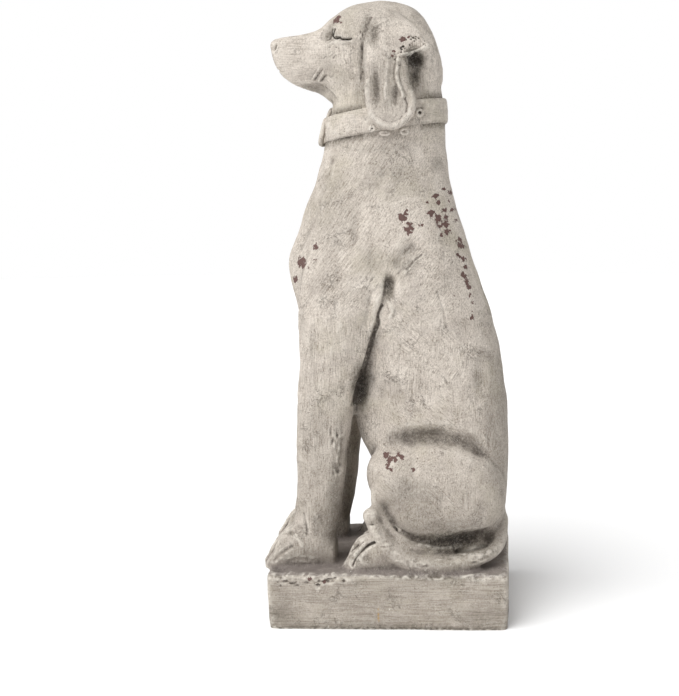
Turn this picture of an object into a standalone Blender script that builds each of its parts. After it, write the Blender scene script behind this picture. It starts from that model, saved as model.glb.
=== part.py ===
# A seated hound on a plinth, cast in one piece.
# The dog faces -Y and its left side is +X. The plinth stands on z = 0.
# Every form is a closed loft. The lofts overlap, a voxel remesh fuses them into one skin,
# and the skin is then carved with strokes and presses, as a modeller works clay.

import bmesh
import bpy
import numpy as np

# Driving sizes in metres
FIGURE_HEIGHT = 0.607        # plinth top to the crown of the head
PLINTH_LENGTH = 0.256
PLINTH_WIDTH = 0.190
PLINTH_HEIGHT = 0.059
PLINTH_BATTER = 0.003        # how far the front face leans in towards the ground
PLINTH_ROUND = 0.004         # top edges
PLINTH_CORNER = 0.004        # upright edges
PLINTH_FOOT = 0.001          # edges along the ground
PLINTH_CELLS = (7, 9)        # small faces across and along its top
COLLAR_HEIGHT = 0.028
COLLAR_PROUD = 0.0045        # how far the strap stands out of the neck
BUCKLE_WIDTH = 0.030
BUCKLE_HEIGHT = 0.028
BUCKLE_WIRE = 0.0026

# Fineness of the cast skin
VOXEL = 0.0028
TRIANGLES = 7500
SHARP_ANGLE = np.radians(35)

# The figure is drawn in millimetres at 622 mm tall, up from the plinth's top, and then settles:
# the drawing is pulled a little narrower and lower towards the crown.
# MM is one drawn millimetre at the chosen height, so pose and proportions follow FIGURE_HEIGHT.
DRAWN_HEIGHT = 622.0
CROWN_DROP = 15.6            # how far the crown comes down
WAIST_RISE = 30.0            # four times how far half height goes up
CROWN_NARROW = 0.048         # how much shorter the crown gets from front to back
CROWN_BACK = 4.8             # how far the crown moves back
MM = FIGURE_HEIGHT / (DRAWN_HEIGHT - CROWN_DROP)

# Up the trunk and neck: height, front, back, half width, squareness, how far the width sits back
TRUNK = [
    (-6, 6, 112, 58, 2.6, 0.05),
    (20, 0, 121, 62, 2.6, 0.05),
    (65, -8, 126, 65, 2.8, 0.00),
    (107, -25, 128, 64, 3.0, 0.00),
    (131, -38, 128, 63, 3.0, 0.00),
    (158, -45, 127, 61, 3.0, 0.00),
    (188, -50, 124, 59, 2.8, 0.00),
    (214, -62, 121, 60, 2.4, 0.05),
    (232, -86, 118, 63, 2.2, 0.10),
    (250, -105, 113, 65, 2.1, 0.12),
    (272, -110, 108, 68, 2.1, 0.12),
    (297, -117, 99, 70, 2.1, 0.12),
    (325, -121, 89, 70, 2.1, 0.10),
    (342, -117, 84, 68, 2.1, 0.08),
    (364, -109, 77, 65, 2.1, 0.05),
    (390, -101, 69, 61, 2.1, 0.03),
    (412, -92, 62, 56, 2.1, 0.00),
    (436, -85, 59, 53, 2.1, 0.00),
    (462, -79, 57, 51, 2.1, 0.00),
    (496, -72, 55, 50, 2.2, 0.00),
    (520, -69, 52, 49, 2.4, 0.00),
    (550, -58, 47, 46, 2.4, 0.00),
]

# Down each foreleg: height, front, back, middle of its width, half width, squareness
FORELEG = [
    (-4, -107, -67, 46, 22, 2.2),
    (20, -107, -62, 46, 22, 2.2),
    (48, -106, -57, 46, 22, 2.2),
    (76, -103, -53, 46, 23, 2.2),
    (112, -103, -49, 46, 24, 2.3),
    (154, -103, -43, 45, 26, 2.3),
    (188, -102, -38, 44, 28, 2.3),
    (218, -101, -28, 43, 30, 2.3),
    (245, -101, -18, 43, 31, 2.2),
    (275, -102, -10, 43, 32, 2.2),
    (305, -99, -2, 42, 32, 2.2),
    (335, -91, 6, 41, 30, 2.2),
    (362, -78, 12, 37, 27, 2.2),
    (392, -60, 14, 31, 23, 2.2),
    (420, -42, 12, 24, 16, 2.2),
]

# Along the head from nose to nape: y, top, bottom, half width, squareness, width held up high
HEAD = [
    (-141, 576, 562, 9, 2.4, 0.00),
    (-137, 579, 550, 15, 2.4, 0.00),
    (-129, 581, 537, 19, 2.6, 0.00),
    (-119, 582, 529, 22, 2.8, 0.00),
    (-105, 584, 523, 26, 2.8, 0.00),
    (-92, 587, 519, 30, 2.7, 0.04),
    (-82, 592, 514, 34, 2.5, 0.08),
    (-72, 602, 506, 38, 2.3, 0.12),
    (-59, 612, 500, 42, 2.2, 0.14),
    (-44, 618, 496, 45, 2.2, 0.14),
    (-28, 621, 494, 47, 2.2, 0.14),
    (-12, 622, 492, 48, 2.2, 0.12),
    (5, 620, 494, 48, 2.2, 0.10),
    (20, 614, 498, 46, 2.2, 0.05),
    (32, 603, 502, 42, 2.2, 0.00),
    (42, 585, 508, 36, 2.1, 0.00),
    (49, 566, 518, 27, 2.1, 0.00),
    (53, 548, 530, 12, 2.0, 0.00),
]

# The right foreleg is a little deeper from front to back
FORELEG_DEEPER = {1: 0.0, -1: 3.5}

# Down each ear: height, front edge, back edge, how far out its middle hangs, half thickness
EAR = [
    (606, -16, -4, 32, 3),
    (600, -21, 9, 38, 5),
    (591, -24, 22, 44, 7),
    (580, -27, 31, 49, 8),
    (569, -29, 38, 53, 8),
    (562, -30, 42, 54, 8),
    (556, -30, 34, 55, 9),
    (548, -30, 22, 56, 10),
    (538, -30, 19, 57, 10),
    (527, -29, 21, 57, 10),
    (515, -28, 25, 57, 10),
    (502, -26, 28, 57, 10),
    (489, -23, 26, 57, 10),
    (477, -16, 16, 58, 8),
    (471, -8, 4, 58, 5),
]

# Along the tail from the rump round to its tip: x, y, height, radius
TAIL = [
    (-22, 106, 46, 15),
    (10, 116, 34, 12),
    (40, 118, 24, 9),
    (62, 112, 18, 8),
    (73, 98, 14, 9),
    (78, 78, 9, 10),
    (80, 55, 6, 11),
    (80, 31, 7, 11),
    (80, 12, 15, 10),
    (80, -3, 28, 9),
    (80, -12, 42, 8),
    (79, -17, 52, 7),
    (79, -19, 60, 7),
    (78, -20, 66, 4),
]

# Along each shin, folded under the thigh: x, y, height, radius
SHIN = [
    (58, -6, 108, 7),
    (65, -13, 92, 7),
    (70, -14, 70, 5),
    (72, -5, 50, 4.5),
    (73, 9, 34, 4.5),
    (73, 30, 24, 4.5),
    (70, 58, 19, 4.5),
    (56, 84, 26, 5),
]

# Blobs: centre x, y, height, then half width, half length, half height, and a tilt in degrees
HAUNCH = [
    (45, 52, 80, 40, 75, 56, -12),
    (54, 52, 80, 31, 71, 57, -10),
    (50, 10, 97, 34, 36, 41, 0),
]

# Along each paw from heel to toes: y, top, half width
FOREPAW = [
    (-60, 24, 17),
    (-72, 40, 23),
    (-86, 46, 26),
    (-100, 44, 27),
    (-109, 36, 28),
    (-117, 28, 28),
    (-124, 17, 27),
    (-131, 9, 23),
    (-135, 2, 17),
    (-137, -3, 8),
]
FOREPAW_MIDDLE = 47
FOREPAW_LEAD = {1: 0, -1: -5}        # the right paw is set a little ahead of the left
FORE_TOES = [(-19, -128, 7), (-7, -134, 8), (7, -134, 8), (19, -128, 7)]

HIND_PAW = [
    (36, 20, 14),
    (18, 32, 18),
    (-4, 37, 20),
    (-20, 35, 21),
    (-30, 29, 21),
    (-38, 20, 20),
    (-44, 11, 16),
    (-48, 4, 9),
]
HIND_PAW_MIDDLE = 66
HIND_TOES = [(-14, -40, 6), (-5, -46, 7), (5, -46, 7), (14, -40, 6)]
PAW_SINK = -6.0
PAW_CREST = 50.0

# The neck axis at the collar, drawn millimetres
COLLAR_MIDDLE = 485.0
COLLAR_CENTRE_Y = -12.0
COLLAR_SLOPE = 0.175         # the strap rises towards the nape by this share
BUCKLE_MIDDLE = 473.0
BUCKLE_LEAN = 0.22           # the throat slopes back as it rises

SEGMENTS = 40
RINGS = 64


def smooth_rows(rows, count):
    """Catmull-Rom curve through every row, read at count even steps."""
    rows = np.asarray(rows, float)
    last = len(rows) - 1
    t = np.linspace(0, last, count)
    i = np.minimum(t.astype(int), last - 1)
    f = (t - i)[:, None]
    a, b = rows[np.maximum(i - 1, 0)], rows[i]
    c, d = rows[i + 1], rows[np.minimum(i + 2, last)]
    return 0.5 * (2 * b + (c - a) * f + (2 * a - 5 * b + 4 * c - d) * f**2 + (3 * b - a - 3 * c + d) * f**3)


def rounded(angle, squareness):
    """Unit superellipse: a circle at 2, nearer a square above it."""
    c, s = np.cos(angle), np.sin(angle)
    power = 2.0 / squareness
    return np.sign(c) * np.abs(c) ** power, np.sign(s) * np.abs(s) ** power


class Clay:
    """The closed bodies of the statue, gathered in one bmesh before they are fused."""

    def __init__(self):
        self.bm = bmesh.new()

    def skin(self, rings):
        """Close a stack of rings, an array of (ring, point, xyz), into one body."""
        rows = [[self.bm.verts.new(p) for p in ring] for ring in rings]
        count = len(rows[0])
        for low, high in zip(rows, rows[1:]):
            for k in range(count):
                n = (k + 1) % count
                self.bm.faces.new((low[k], low[n], high[n], high[k]))
        self.bm.faces.new(rows[0][::-1])
        self.bm.faces.new(rows[-1])

    def hoop(self, rings):
        """Close a ring of sections onto itself, as a strap or a buckle frame does."""
        rows = [[self.bm.verts.new(p) for p in ring] for ring in rings]
        count = len(rows[0])
        for low, high in zip(rows, rows[1:] + rows[:1]):
            for k in range(count):
                n = (k + 1) % count
                self.bm.faces.new((low[k], low[n], high[n], high[k]))

    def mesh(self, name):
        bmesh.ops.recalc_face_normals(self.bm, faces=self.bm.faces)
        made = bpy.data.meshes.new(name)
        self.bm.to_mesh(made)
        self.bm.free()
        return made


def place(x, y, h):
    """Drawn millimetres above the plinth's top to metres."""
    x, y, h = np.broadcast_arrays(x, y, h)
    return np.stack((x * MM, y * MM, PLINTH_HEIGHT + h * MM), axis=-1)


def turns(segments=SEGMENTS):
    return np.linspace(0, 2 * np.pi, segments, endpoint=False)[None, :]


def trunk_section(height, angle):
    """Outline of trunk and neck at a drawn height, as drawn x and y."""
    rows = smooth_rows(TRUNK, 400)
    front, back, half, square, shift = (np.interp(height, rows[:, 0], rows[:, k]) for k in range(1, 6))
    cx, sy = rounded(angle, square)
    x = half * cx * (1 + shift * sy)
    y = (front + back) / 2 + (back - front) / 2 * sy
    return x, y


def add_trunk(clay):
    rows = smooth_rows(TRUNK, RINGS)
    height = rows[:, :1]
    x, y = trunk_section(height, turns())
    clay.skin(place(x, y, height))


def add_foreleg(clay, side):
    rows = smooth_rows(FORELEG, RINGS)
    height, front, back, middle, half, square = (rows[:, k:k + 1] for k in range(6))
    back = back + FORELEG_DEEPER[side]
    cx, sy = rounded(turns(), square)
    clay.skin(place(side * (middle + half * cx), (front + back) / 2 + (back - front) / 2 * sy, height))


def add_head(clay):
    rows = smooth_rows(HEAD, RINGS)
    y, top, bottom, half, square, high = (rows[:, k:k + 1] for k in range(6))
    cx, sz = rounded(turns(), square)
    clay.skin(place(half * cx * (1 + high * sz), y, (top + bottom) / 2 + (top - bottom) / 2 * sz))


def add_ear(clay, side):
    rows = smooth_rows(EAR, RINGS)
    height, front, back, out, thick = (rows[:, k:k + 1] for k in range(5))
    cy, sx = rounded(turns(), 3.4)
    clay.skin(place(side * (out + thick * sx), (front + back) / 2 + (back - front) / 2 * cy, height))


def add_tube(clay, path, side=1, rings=RINGS, segments=SEGMENTS):
    """A round rope of changing radius along a path of x, y, height and radius."""
    rows = smooth_rows(path, rings)
    spine, radius = rows[:, :3], rows[:, 3:4]
    along = np.gradient(spine, axis=0)
    along /= np.linalg.norm(along, axis=1, keepdims=True)
    across = np.cross(along, (0.0, 0.0, 1.0))
    across /= np.linalg.norm(across, axis=1, keepdims=True)
    up = np.cross(across, along)
    c, s = np.cos(turns(segments)), np.sin(turns(segments))
    points = spine[:, None] + (radius * c)[..., None] * across[:, None] + (radius * s)[..., None] * up[:, None]
    clay.skin(place(side * points[..., 0], points[..., 1], points[..., 2]))


def add_blob(clay, side, x, y, h, half_width, half_length, half_height, tilt):
    """A rounded mass: an ellipsoid turned about X by tilt degrees."""
    polar = np.linspace(0.05, np.pi - 0.05, 24)[:, None]
    u = np.cos(polar) + 0 * turns()
    v = np.sin(polar) * np.cos(turns())
    w = np.sin(polar) * np.sin(turns())
    lean = np.radians(tilt)
    along, rise = half_length * v, half_height * w
    clay.skin(place(
        side * (x + half_width * u),
        y + along * np.cos(lean) - rise * np.sin(lean),
        h + along * np.sin(lean) + rise * np.cos(lean)))


def add_paw(clay, side, table, toes, middle, lead=0.0):
    """A wedge that slopes down to the toes, with a knuckled tube for each toe."""
    rows = smooth_rows(table, RINGS)
    y, top, half = (rows[:, k:k + 1] for k in range(3))
    heel = rows[0, 0]
    length = heel - rows[-1, 0]
    stretch = 1.0 + -lead / length
    y = heel + (y - heel) * stretch
    cx, sz = rounded(turns(), 2.6)
    clay.skin(place(side * (middle + half * cx), y, (top + PAW_SINK) / 2 + (top - PAW_SINK) / 2 * sz))
    for across, tip, radius in toes:
        tip = heel + (tip - heel) * stretch
        knuckle = tip + 16
        back = tip + 30
        crest = np.interp(-knuckle, -rows[:, 0] * stretch - heel * (1 - stretch), rows[:, 1])
        rear = np.interp(-back, -rows[:, 0] * stretch - heel * (1 - stretch), rows[:, 1])
        add_tube(clay, [
            (middle + 0.7 * across, back, rear - radius - 2, radius),
            (middle + 0.9 * across, knuckle, crest - radius + 2.5, radius),
            (middle + across, tip + 6, 5, radius - 0.5),
            (middle + across, tip + 1, 1, radius - 2),
            (middle + across, tip - 1, -2, radius - 5)], side)


def add_collar(clay):
    """The strap: a rounded rectangle carried round the neck, tilted up towards the nape."""
    angle = np.linspace(0, 2 * np.pi, 60, endpoint=False)
    c, s = rounded(np.radians([0, 38, 52, 128, 142, 218, 232, 308, 322]), 6.0)
    x, y = trunk_section(COLLAR_MIDDLE + 0 * angle, angle)
    rise = COLLAR_MIDDLE + COLLAR_SLOPE * (y - COLLAR_CENTRE_Y)
    x, y = trunk_section(rise, angle)
    normal = np.stack((np.gradient(y), -np.gradient(x)), axis=-1)
    normal /= np.linalg.norm(normal, axis=1, keepdims=True)
    deep = COLLAR_PROUD / MM
    out = deep * c - 0.1 * deep
    rows = []
    for k in range(len(angle)):
        px = x[k] + normal[k, 0] * out
        py = y[k] + normal[k, 1] * out
        rows.append(place(px, py, rise[k] + COLLAR_HEIGHT / MM / 2 * s))
    clay.hoop(rows)


def add_buckle(clay):
    """A wire frame and its tongue, lying on the strap at the throat."""
    y = trunk_section(np.array([BUCKLE_MIDDLE]), np.array([-np.pi / 2]))[1][0] - COLLAR_PROUD / MM
    wide, tall, wire = BUCKLE_WIDTH / MM / 2, BUCKLE_HEIGHT / MM / 2, BUCKLE_WIRE / MM
    c, s = rounded(np.linspace(0, 2 * np.pi, 28, endpoint=False), 4.0)
    ring = np.linspace(0, 2 * np.pi, 6, endpoint=False)
    rows = []
    for k in range(len(c)):
        grow = 1 + wire * np.cos(ring) / np.hypot(wide, tall)
        rise = tall * s[k] * grow
        rows.append(place(wide * c[k] * grow, y + BUCKLE_LEAN * rise - wire * np.sin(ring), BUCKLE_MIDDLE + rise))
    clay.hoop(rows)
    add_tube(clay, [
        (0, y - 1 - BUCKLE_LEAN * tall, BUCKLE_MIDDLE - tall, wire),
        (0, y - 2, BUCKLE_MIDDLE, wire),
        (1, y + BUCKLE_LEAN * tall, BUCKLE_MIDDLE + tall + 1, wire)], rings=8, segments=8)


def make_plinth():
    """A bevelled block whose front face leans in towards the ground."""
    bm = bmesh.new()
    bmesh.ops.create_cube(bm, size=1.0)
    for v in bm.verts:
        v.co.x *= PLINTH_WIDTH
        v.co.y *= PLINTH_LENGTH
        v.co.z = PLINTH_HEIGHT if v.co.z > 0 else 0.0
        if v.co.z == 0.0 and v.co.y < 0:
            v.co.y += PLINTH_BATTER
    upright = [e for e in bm.edges if abs(e.verts[0].co.z - e.verts[1].co.z) > PLINTH_HEIGHT / 2]
    bmesh.ops.bevel(bm, geom=upright, offset=PLINTH_CORNER, segments=3, profile=0.5, affect="EDGES")
    rim = [e for e in bm.edges if min(v.co.z for v in e.verts) > PLINTH_HEIGHT - 1e-6]
    bmesh.ops.bevel(bm, geom=rim, offset=PLINTH_ROUND, segments=3, profile=0.5, affect="EDGES")
    foot = [e for e in bm.edges if max(v.co.z for v in e.verts) < 1e-6]
    bmesh.ops.bevel(bm, geom=foot, offset=PLINTH_FOOT, segments=2, profile=0.5, affect="EDGES")
    # small faces on top, so that the feet cut clean outlines
    for axis, (side, cells) in enumerate(zip((PLINTH_WIDTH, PLINTH_LENGTH), PLINTH_CELLS)):
        for k in range(1, cells):
            faces = [f for f in bm.faces if f.normal.z > 0.999]
            edges = list({e for f in faces for e in f.edges})
            at, across = [0, 0, PLINTH_HEIGHT], [0, 0, 0]
            at[axis], across[axis] = side * (k / cells - 0.5), 1
            bmesh.ops.bisect_plane(bm, geom=faces + edges, plane_co=at, plane_no=across)
    made = bpy.data.meshes.new("plinth_block")
    bm.to_mesh(made)
    bm.free()
    return made


def gather():
    clay = Clay()
    add_trunk(clay)
    add_head(clay)
    for side in (1, -1):
        add_foreleg(clay, side)
        add_paw(clay, side, FOREPAW, FORE_TOES, FOREPAW_MIDDLE, FOREPAW_LEAD[side])
        for blob in HAUNCH:
            add_blob(clay, side, *blob)
        add_tube(clay, SHIN, side)
        add_paw(clay, side, HIND_PAW, HIND_TOES, HIND_PAW_MIDDLE)
        add_ear(clay, side)
    add_tube(clay, TAIL)
    return clay.mesh("figure")


def evaluated(obj):
    """The object's mesh with its modifiers applied, which are then removed."""
    bpy.context.view_layer.update()
    depsgraph = bpy.context.evaluated_depsgraph_get()
    made = bpy.data.meshes.new_from_object(obj.evaluated_get(depsgraph))
    obj.modifiers.clear()
    obj.data = made
    return made


def fuse(obj, voxel):
    remesh = obj.modifiers.new("fuse", "REMESH")
    remesh.mode = "VOXEL"
    remesh.voxel_size = voxel
    evaluated(obj)


def soften(obj, factor, repeat):
    smooth = obj.modifiers.new("soften", "SMOOTH")
    smooth.factor = factor
    smooth.iterations = repeat
    evaluated(obj)


class Skin:
    """The fused skin as arrays in drawn millimetres, so that it can be pressed and carved."""

    def __init__(self, mesh):
        self.mesh = mesh
        count = len(mesh.vertices)
        flat = np.empty(count * 3, np.float32)
        mesh.vertices.foreach_get("co", flat)
        self.p = (flat.reshape(-1, 3) - (0, 0, PLINTH_HEIGHT)) / MM
        pairs = np.empty(len(mesh.edges) * 2, np.int32)
        mesh.edges.foreach_get("vertices", pairs)
        pairs = pairs.reshape(-1, 2)
        self.a, self.b = np.concatenate((pairs, pairs[:, ::-1])).T
        self.valence = np.bincount(self.a, minlength=count)[:, None]
        self.store()

    def store(self):
        """Write the points to the mesh and read back their normals."""
        world = self.p * MM + (0, 0, PLINTH_HEIGHT)
        self.mesh.vertices.foreach_set("co", world.astype(np.float32).ravel())
        self.mesh.update()
        flat = np.empty(len(self.p) * 3, np.float32)
        self.mesh.vertex_normals.foreach_get("vector", flat)
        self.normal = flat.reshape(-1, 3)

    def blend(self, centre, radii, repeat):
        """Smooth inside an ellipsoid, fading out to its rim."""
        reach = (((self.p - centre) / radii) ** 2).sum(axis=1)
        weight = np.clip(1.5 - 1.5 * reach, 0, 1)[:, None]
        near = weight[self.a, 0] > 0
        a, b = self.a[near], self.b[near]
        for _ in range(repeat):
            mean = np.stack([np.bincount(a, self.p[b, k], len(self.p)) for k in range(3)], axis=1)
            self.p += 0.6 * weight * (mean / self.valence - self.p)

    def press(self, centre, radii, depth):
        """Push in (negative) or raise (positive) a soft round patch along the surface normal."""
        reach = (((self.p - centre) / radii) ** 2).sum(axis=1)
        lift = depth * np.clip(1 - reach, 0, 1) ** 2
        self.p += lift[:, None] * self.normal

    def stroke(self, line, width, depth, facing, beyond=-999.0):
        """Draw a tool along a smooth line in the plane that faces X (1, -1) or the top (2).

        The cut fades over its width; only skin that faces the tool and lies beyond a depth is cut.
        From the top, it cuts nothing higher than the paws.
        """
        line = smooth_rows(line, 6 * len(line))
        flat = self.p[:, :2] if facing == 2 else self.p[:, 1:]
        close = np.all((flat > line.min(axis=0) - width) & (flat < line.max(axis=0) + width), axis=1)
        flat = flat[close]
        nearest, along = np.full(len(flat), np.inf), np.zeros(len(flat))
        for k, (start, end) in enumerate(zip(line, line[1:])):
            run = end - start
            share = np.clip(((flat - start) @ run) / max(run @ run, 1e-9), 0, 1)
            apart = np.linalg.norm(flat - start - share[:, None] * run, axis=1)
            along = np.where(apart < nearest, (k + share) / (len(line) - 1), along)
            nearest = np.minimum(nearest, apart)
        towards = self.normal[close, 2] if facing == 2 else facing * self.normal[close, 0]
        outward = self.p[close, 2] if facing == 2 else facing * self.p[close, 0]
        mask = (nearest < width) & (towards > 0.05) & (outward > beyond)
        if facing == 2:
            mask &= outward < PAW_CREST
        fade = np.where(mask, (1 - (np.minimum(nearest, width) / width) ** 2) ** 2, 0)
        fade *= np.clip(6 * np.minimum(along, 1 - along) + 0.1, 0, 1)
        self.p[close] += (depth * fade)[:, None] * self.normal[close]


def carve(mesh):
    """Everything that is cut or pressed into the fused skin."""
    skin = Skin(mesh)
    for side in (1, -1):
        # cheek into neck, shoulder into trunk, knee into thigh
        skin.blend((side * 36, -45, 522), (34, 44, 30), 40)
        skin.blend((side * 50, -10, 300), (44, 70, 120), 12)
        skin.blend((side * 40, -22, 395), (34, 56, 60), 30)
        skin.blend((side * 66, 2, 104), (34, 26, 40), 30)
        skin.store()
        # elbow crease, flank fold above the thigh, edge of the shin
        skin.stroke([(-8, 330), (-7, 300), (-15, 262), (-25, 225), (-36, 196)], 9, -4.5, side, 25)
        skin.stroke([(-4, 124), (5, 131.5), (24, 139), (53, 140), (77, 136), (93, 128), (108, 112)], 11, -4.0, side, 30)
        skin.stroke([(4, 154), (34, 158), (56, 158), (86, 150)], 10, 1.2, side, 30)
        # eye: socket, ball, brow and the hollow before it
        skin.press((side * 36, -62, 577), (14, 14, 11), -5.0)
        skin.press((side * 33, -63, 577), (12, 7, 6), 5.5)
        skin.press((side * 34, -58, 589), (14, 15, 7), 3.0)
        skin.press((side * 32, -75, 573), (12, 8, 6), -2.5)
        # nostril, lips
        skin.stroke([(-141, 571), (-136, 575)], 3.5, -2.0, side, 4)
        skin.stroke([(-139, 556), (-130, 552), (-115, 553), (-100, 554), (-88, 549)], 4, -1.2, side, 6)
        # hollow of the ear flap and behind its fold
        skin.press((side * 66, -6, 510), (14, 13, 30), -3.5)
        skin.press((side * 46, 26, 545), (16, 13, 14), -5.0)
        skin.stroke([(-31, 582), (-34, 560), (-34, 530), (-32, 505)], 5, -2.5, side, 30)
        # toes
        for across in (-13, 0, 13):
            x = side * (FOREPAW_MIDDLE + across)
            skin.stroke([(x, -108), (x, -138)], 4, -2.5, 2)
        for across in (-9, 0, 9):
            x = side * (HIND_PAW_MIDDLE + across)
            skin.stroke([(x, -24), (x, -50)], 3.5, -2.0, 2)
    skin.store()
    mesh.update()


def settle(mesh):
    """The drawing's last pull: y and height of every point shift by their share of the full height."""
    flat = np.empty(len(mesh.vertices) * 3, np.float32)
    mesh.vertices.foreach_get("co", flat)
    p = (flat.reshape(-1, 3) - (0, 0, PLINTH_HEIGHT)) / MM
    t = np.clip(p[:, 2] / DRAWN_HEIGHT, 0, 1)
    p[:, 1] += t * (CROWN_BACK - CROWN_NARROW * p[:, 1])
    p[:, 2] += WAIST_RISE * t * (1 - t) - CROWN_DROP * t
    mesh.vertices.foreach_set("co", (p * MM + (0, 0, PLINTH_HEIGHT)).astype(np.float32).ravel())
    mesh.update()


def thin(obj, triangles):
    obj.data.calc_loop_triangles()
    decimate = obj.modifiers.new("thin", "DECIMATE")
    decimate.ratio = triangles / len(obj.data.loop_triangles)
    evaluated(obj)


def join(figure, mesh):
    """Unite the thinned figure with a crisp piece, such as the block its feet are sunk in."""
    piece = bpy.data.objects.new(mesh.name, mesh)
    bpy.context.scene.collection.objects.link(piece)
    unite = figure.modifiers.new("unite", "BOOLEAN")
    unite.operation = "UNION"
    unite.object = piece
    unite.solver = "MANIFOLD"    # the exact solver loses the figure
    evaluated(figure)
    bpy.data.objects.remove(piece)


def trim(name, add):
    """A crisp piece of its own, made by one of the add functions."""
    clay = Clay()
    add(clay)
    made = clay.mesh(name)
    settle(made)
    return made


def stone_material():
    made = bpy.data.materials.new("weathered_cast_stone")
    made.use_nodes = True
    shader = made.node_tree.nodes["Principled BSDF"]
    shader.inputs["Base Color"].default_value = (0.46, 0.41, 0.36, 1.0)
    shader.inputs["Roughness"].default_value = 0.85
    shader.inputs["Metallic"].default_value = 0.0
    made.diffuse_color = (0.46, 0.41, 0.36, 1.0)
    return made


def main():
    for old in list(bpy.data.objects):
        bpy.data.objects.remove(old)
    statue = bpy.data.objects.new("dog_statue", gather())
    bpy.context.scene.collection.objects.link(statue)
    fuse(statue, VOXEL)
    soften(statue, 0.5, 4)
    carve(statue.data)
    settle(statue.data)
    thin(statue, TRIANGLES)
    join(statue, make_plinth())
    join(statue, trim("collar", add_collar))
    join(statue, trim("buckle", add_buckle))
    statue.data.materials.clear()
    statue.data.materials.append(stone_material())
    statue.data.set_sharp_from_angle(angle=SHARP_ANGLE)
    statue.data.calc_loop_triangles()
    print("dog_statue", len(statue.data.loop_triangles), "triangles")


main()
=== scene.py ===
# %% [markdown]
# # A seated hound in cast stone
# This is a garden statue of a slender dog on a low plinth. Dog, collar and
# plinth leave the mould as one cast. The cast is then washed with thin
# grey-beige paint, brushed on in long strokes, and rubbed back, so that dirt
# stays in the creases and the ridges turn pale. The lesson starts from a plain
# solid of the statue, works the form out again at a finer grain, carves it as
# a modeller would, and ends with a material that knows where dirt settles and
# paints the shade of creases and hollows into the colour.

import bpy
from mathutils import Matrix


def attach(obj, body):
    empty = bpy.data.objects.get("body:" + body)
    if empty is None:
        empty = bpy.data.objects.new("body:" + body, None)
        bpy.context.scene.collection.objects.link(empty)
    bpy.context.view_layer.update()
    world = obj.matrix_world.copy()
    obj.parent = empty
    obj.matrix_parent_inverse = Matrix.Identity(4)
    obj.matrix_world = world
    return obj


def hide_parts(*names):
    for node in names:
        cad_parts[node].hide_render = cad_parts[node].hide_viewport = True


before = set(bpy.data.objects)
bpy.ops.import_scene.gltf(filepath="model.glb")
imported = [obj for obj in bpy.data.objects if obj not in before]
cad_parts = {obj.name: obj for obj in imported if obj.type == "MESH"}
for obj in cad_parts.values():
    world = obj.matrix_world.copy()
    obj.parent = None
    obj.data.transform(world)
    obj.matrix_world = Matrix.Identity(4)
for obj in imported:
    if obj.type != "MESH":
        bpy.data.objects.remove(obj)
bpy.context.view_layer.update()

# %% [markdown]
# ## Millimetres
# A modeller thinks of this dog in millimetres above the plinth, so the lesson
# does too. The x axis runs to the dog's left, which is the side the camera
# sees, and the dog faces towards minus y.

# %% Measures
import bpy
import bmesh
import numpy as np

MM = 0.001
PLINTH_TOP = 0.059
PLINTH_LENGTH, PLINTH_WIDTH = 0.256, 0.190
CROWN = 622.0                # height of the drawing, before it settles
LEFT, RIGHT, ABOVE = 1, -1, 2


def place(x, y, h):
    """Drawn millimetres, h counted up from the plinth's top, to metres."""
    x, y, h = np.broadcast_arrays(x, y, h)
    return np.stack((x * MM, y * MM, PLINTH_TOP + h * MM), axis=-1)


print("the dog is drawn", CROWN, "mm tall")

# %% [markdown]
# ## Two curves that do most of the work
# A sculptor's drawing gives a few sections only. A Catmull-Rom curve runs
# through every one of them and fills in the rest without a kink. Each section
# is a superellipse: a circle when its squareness is 2, and closer to a rounded
# box as that number grows, which suits a chest, a paw or the slab of an ear.

# %% Curves and sections
def smooth_rows(rows, count):
    """Catmull-Rom through the rows: between two rows, a cubic whose slope at
    each end is half the step between its neighbours."""
    rows = np.asarray(rows, float)
    last = len(rows) - 1
    t = np.linspace(0, last, count)
    i = np.minimum(t.astype(int), last - 1)
    f = (t - i)[:, None]
    a, b = rows[np.maximum(i - 1, 0)], rows[i]
    c, d = rows[i + 1], rows[np.minimum(i + 2, last)]
    squared, cubed = 2 * a - 5 * b + 4 * c - d, 3 * b - a - 3 * c + d
    return 0.5 * (2 * b + (c - a) * f + squared * f**2 + cubed * f**3)


def rounded(angle, squareness):
    """Superellipse: cosine and sine, each raised to 2 over the squareness with its sign kept."""
    c, s = np.cos(angle), np.sin(angle)
    power = 2.0 / squareness
    return np.sign(c) * np.abs(c) ** power, np.sign(s) * np.abs(s) ** power


AROUND = np.linspace(0, 2 * np.pi, 48, endpoint=False)[None, :]
RINGS = 96
print("sections have", AROUND.size, "points")

# %% [markdown]
# ## From rings to a closed surface
# Every form is a grid of two parameters, one along it and one around it. Put
# into a mesh, the grid is a tube, and a face at each end closes it. A strap or
# a wire ring has no ends: its last section joins its first.

# %% Grids to faces
def loft(rings):
    """Stack of rings, an array (ring, point, xyz), to points and faces with both ends closed."""
    count, around = rings.shape[:2]
    k = np.arange(around)
    low = np.arange(count - 1)[:, None] * around
    a, b = (low + k).ravel(), (low + (k + 1) % around).ravel()
    quads = np.stack((a, b, b + around, a + around), axis=1).tolist()
    return rings.reshape(-1, 3), quads + [k[::-1].tolist(), (k + (count - 1) * around).tolist()]


def hoop(rings):
    """Ring of sections, an array (section, point, xyz), whose last section joins the first."""
    count, around = rings.shape[:2]
    k = np.arange(around)
    low = np.arange(count)[:, None] * around
    high = np.roll(low, -1)
    quads = np.stack((low + k, low + (k + 1) % around, high + (k + 1) % around, high + k), axis=-1)
    return rings.reshape(-1, 3), quads.reshape(-1, 4).tolist()


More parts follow.
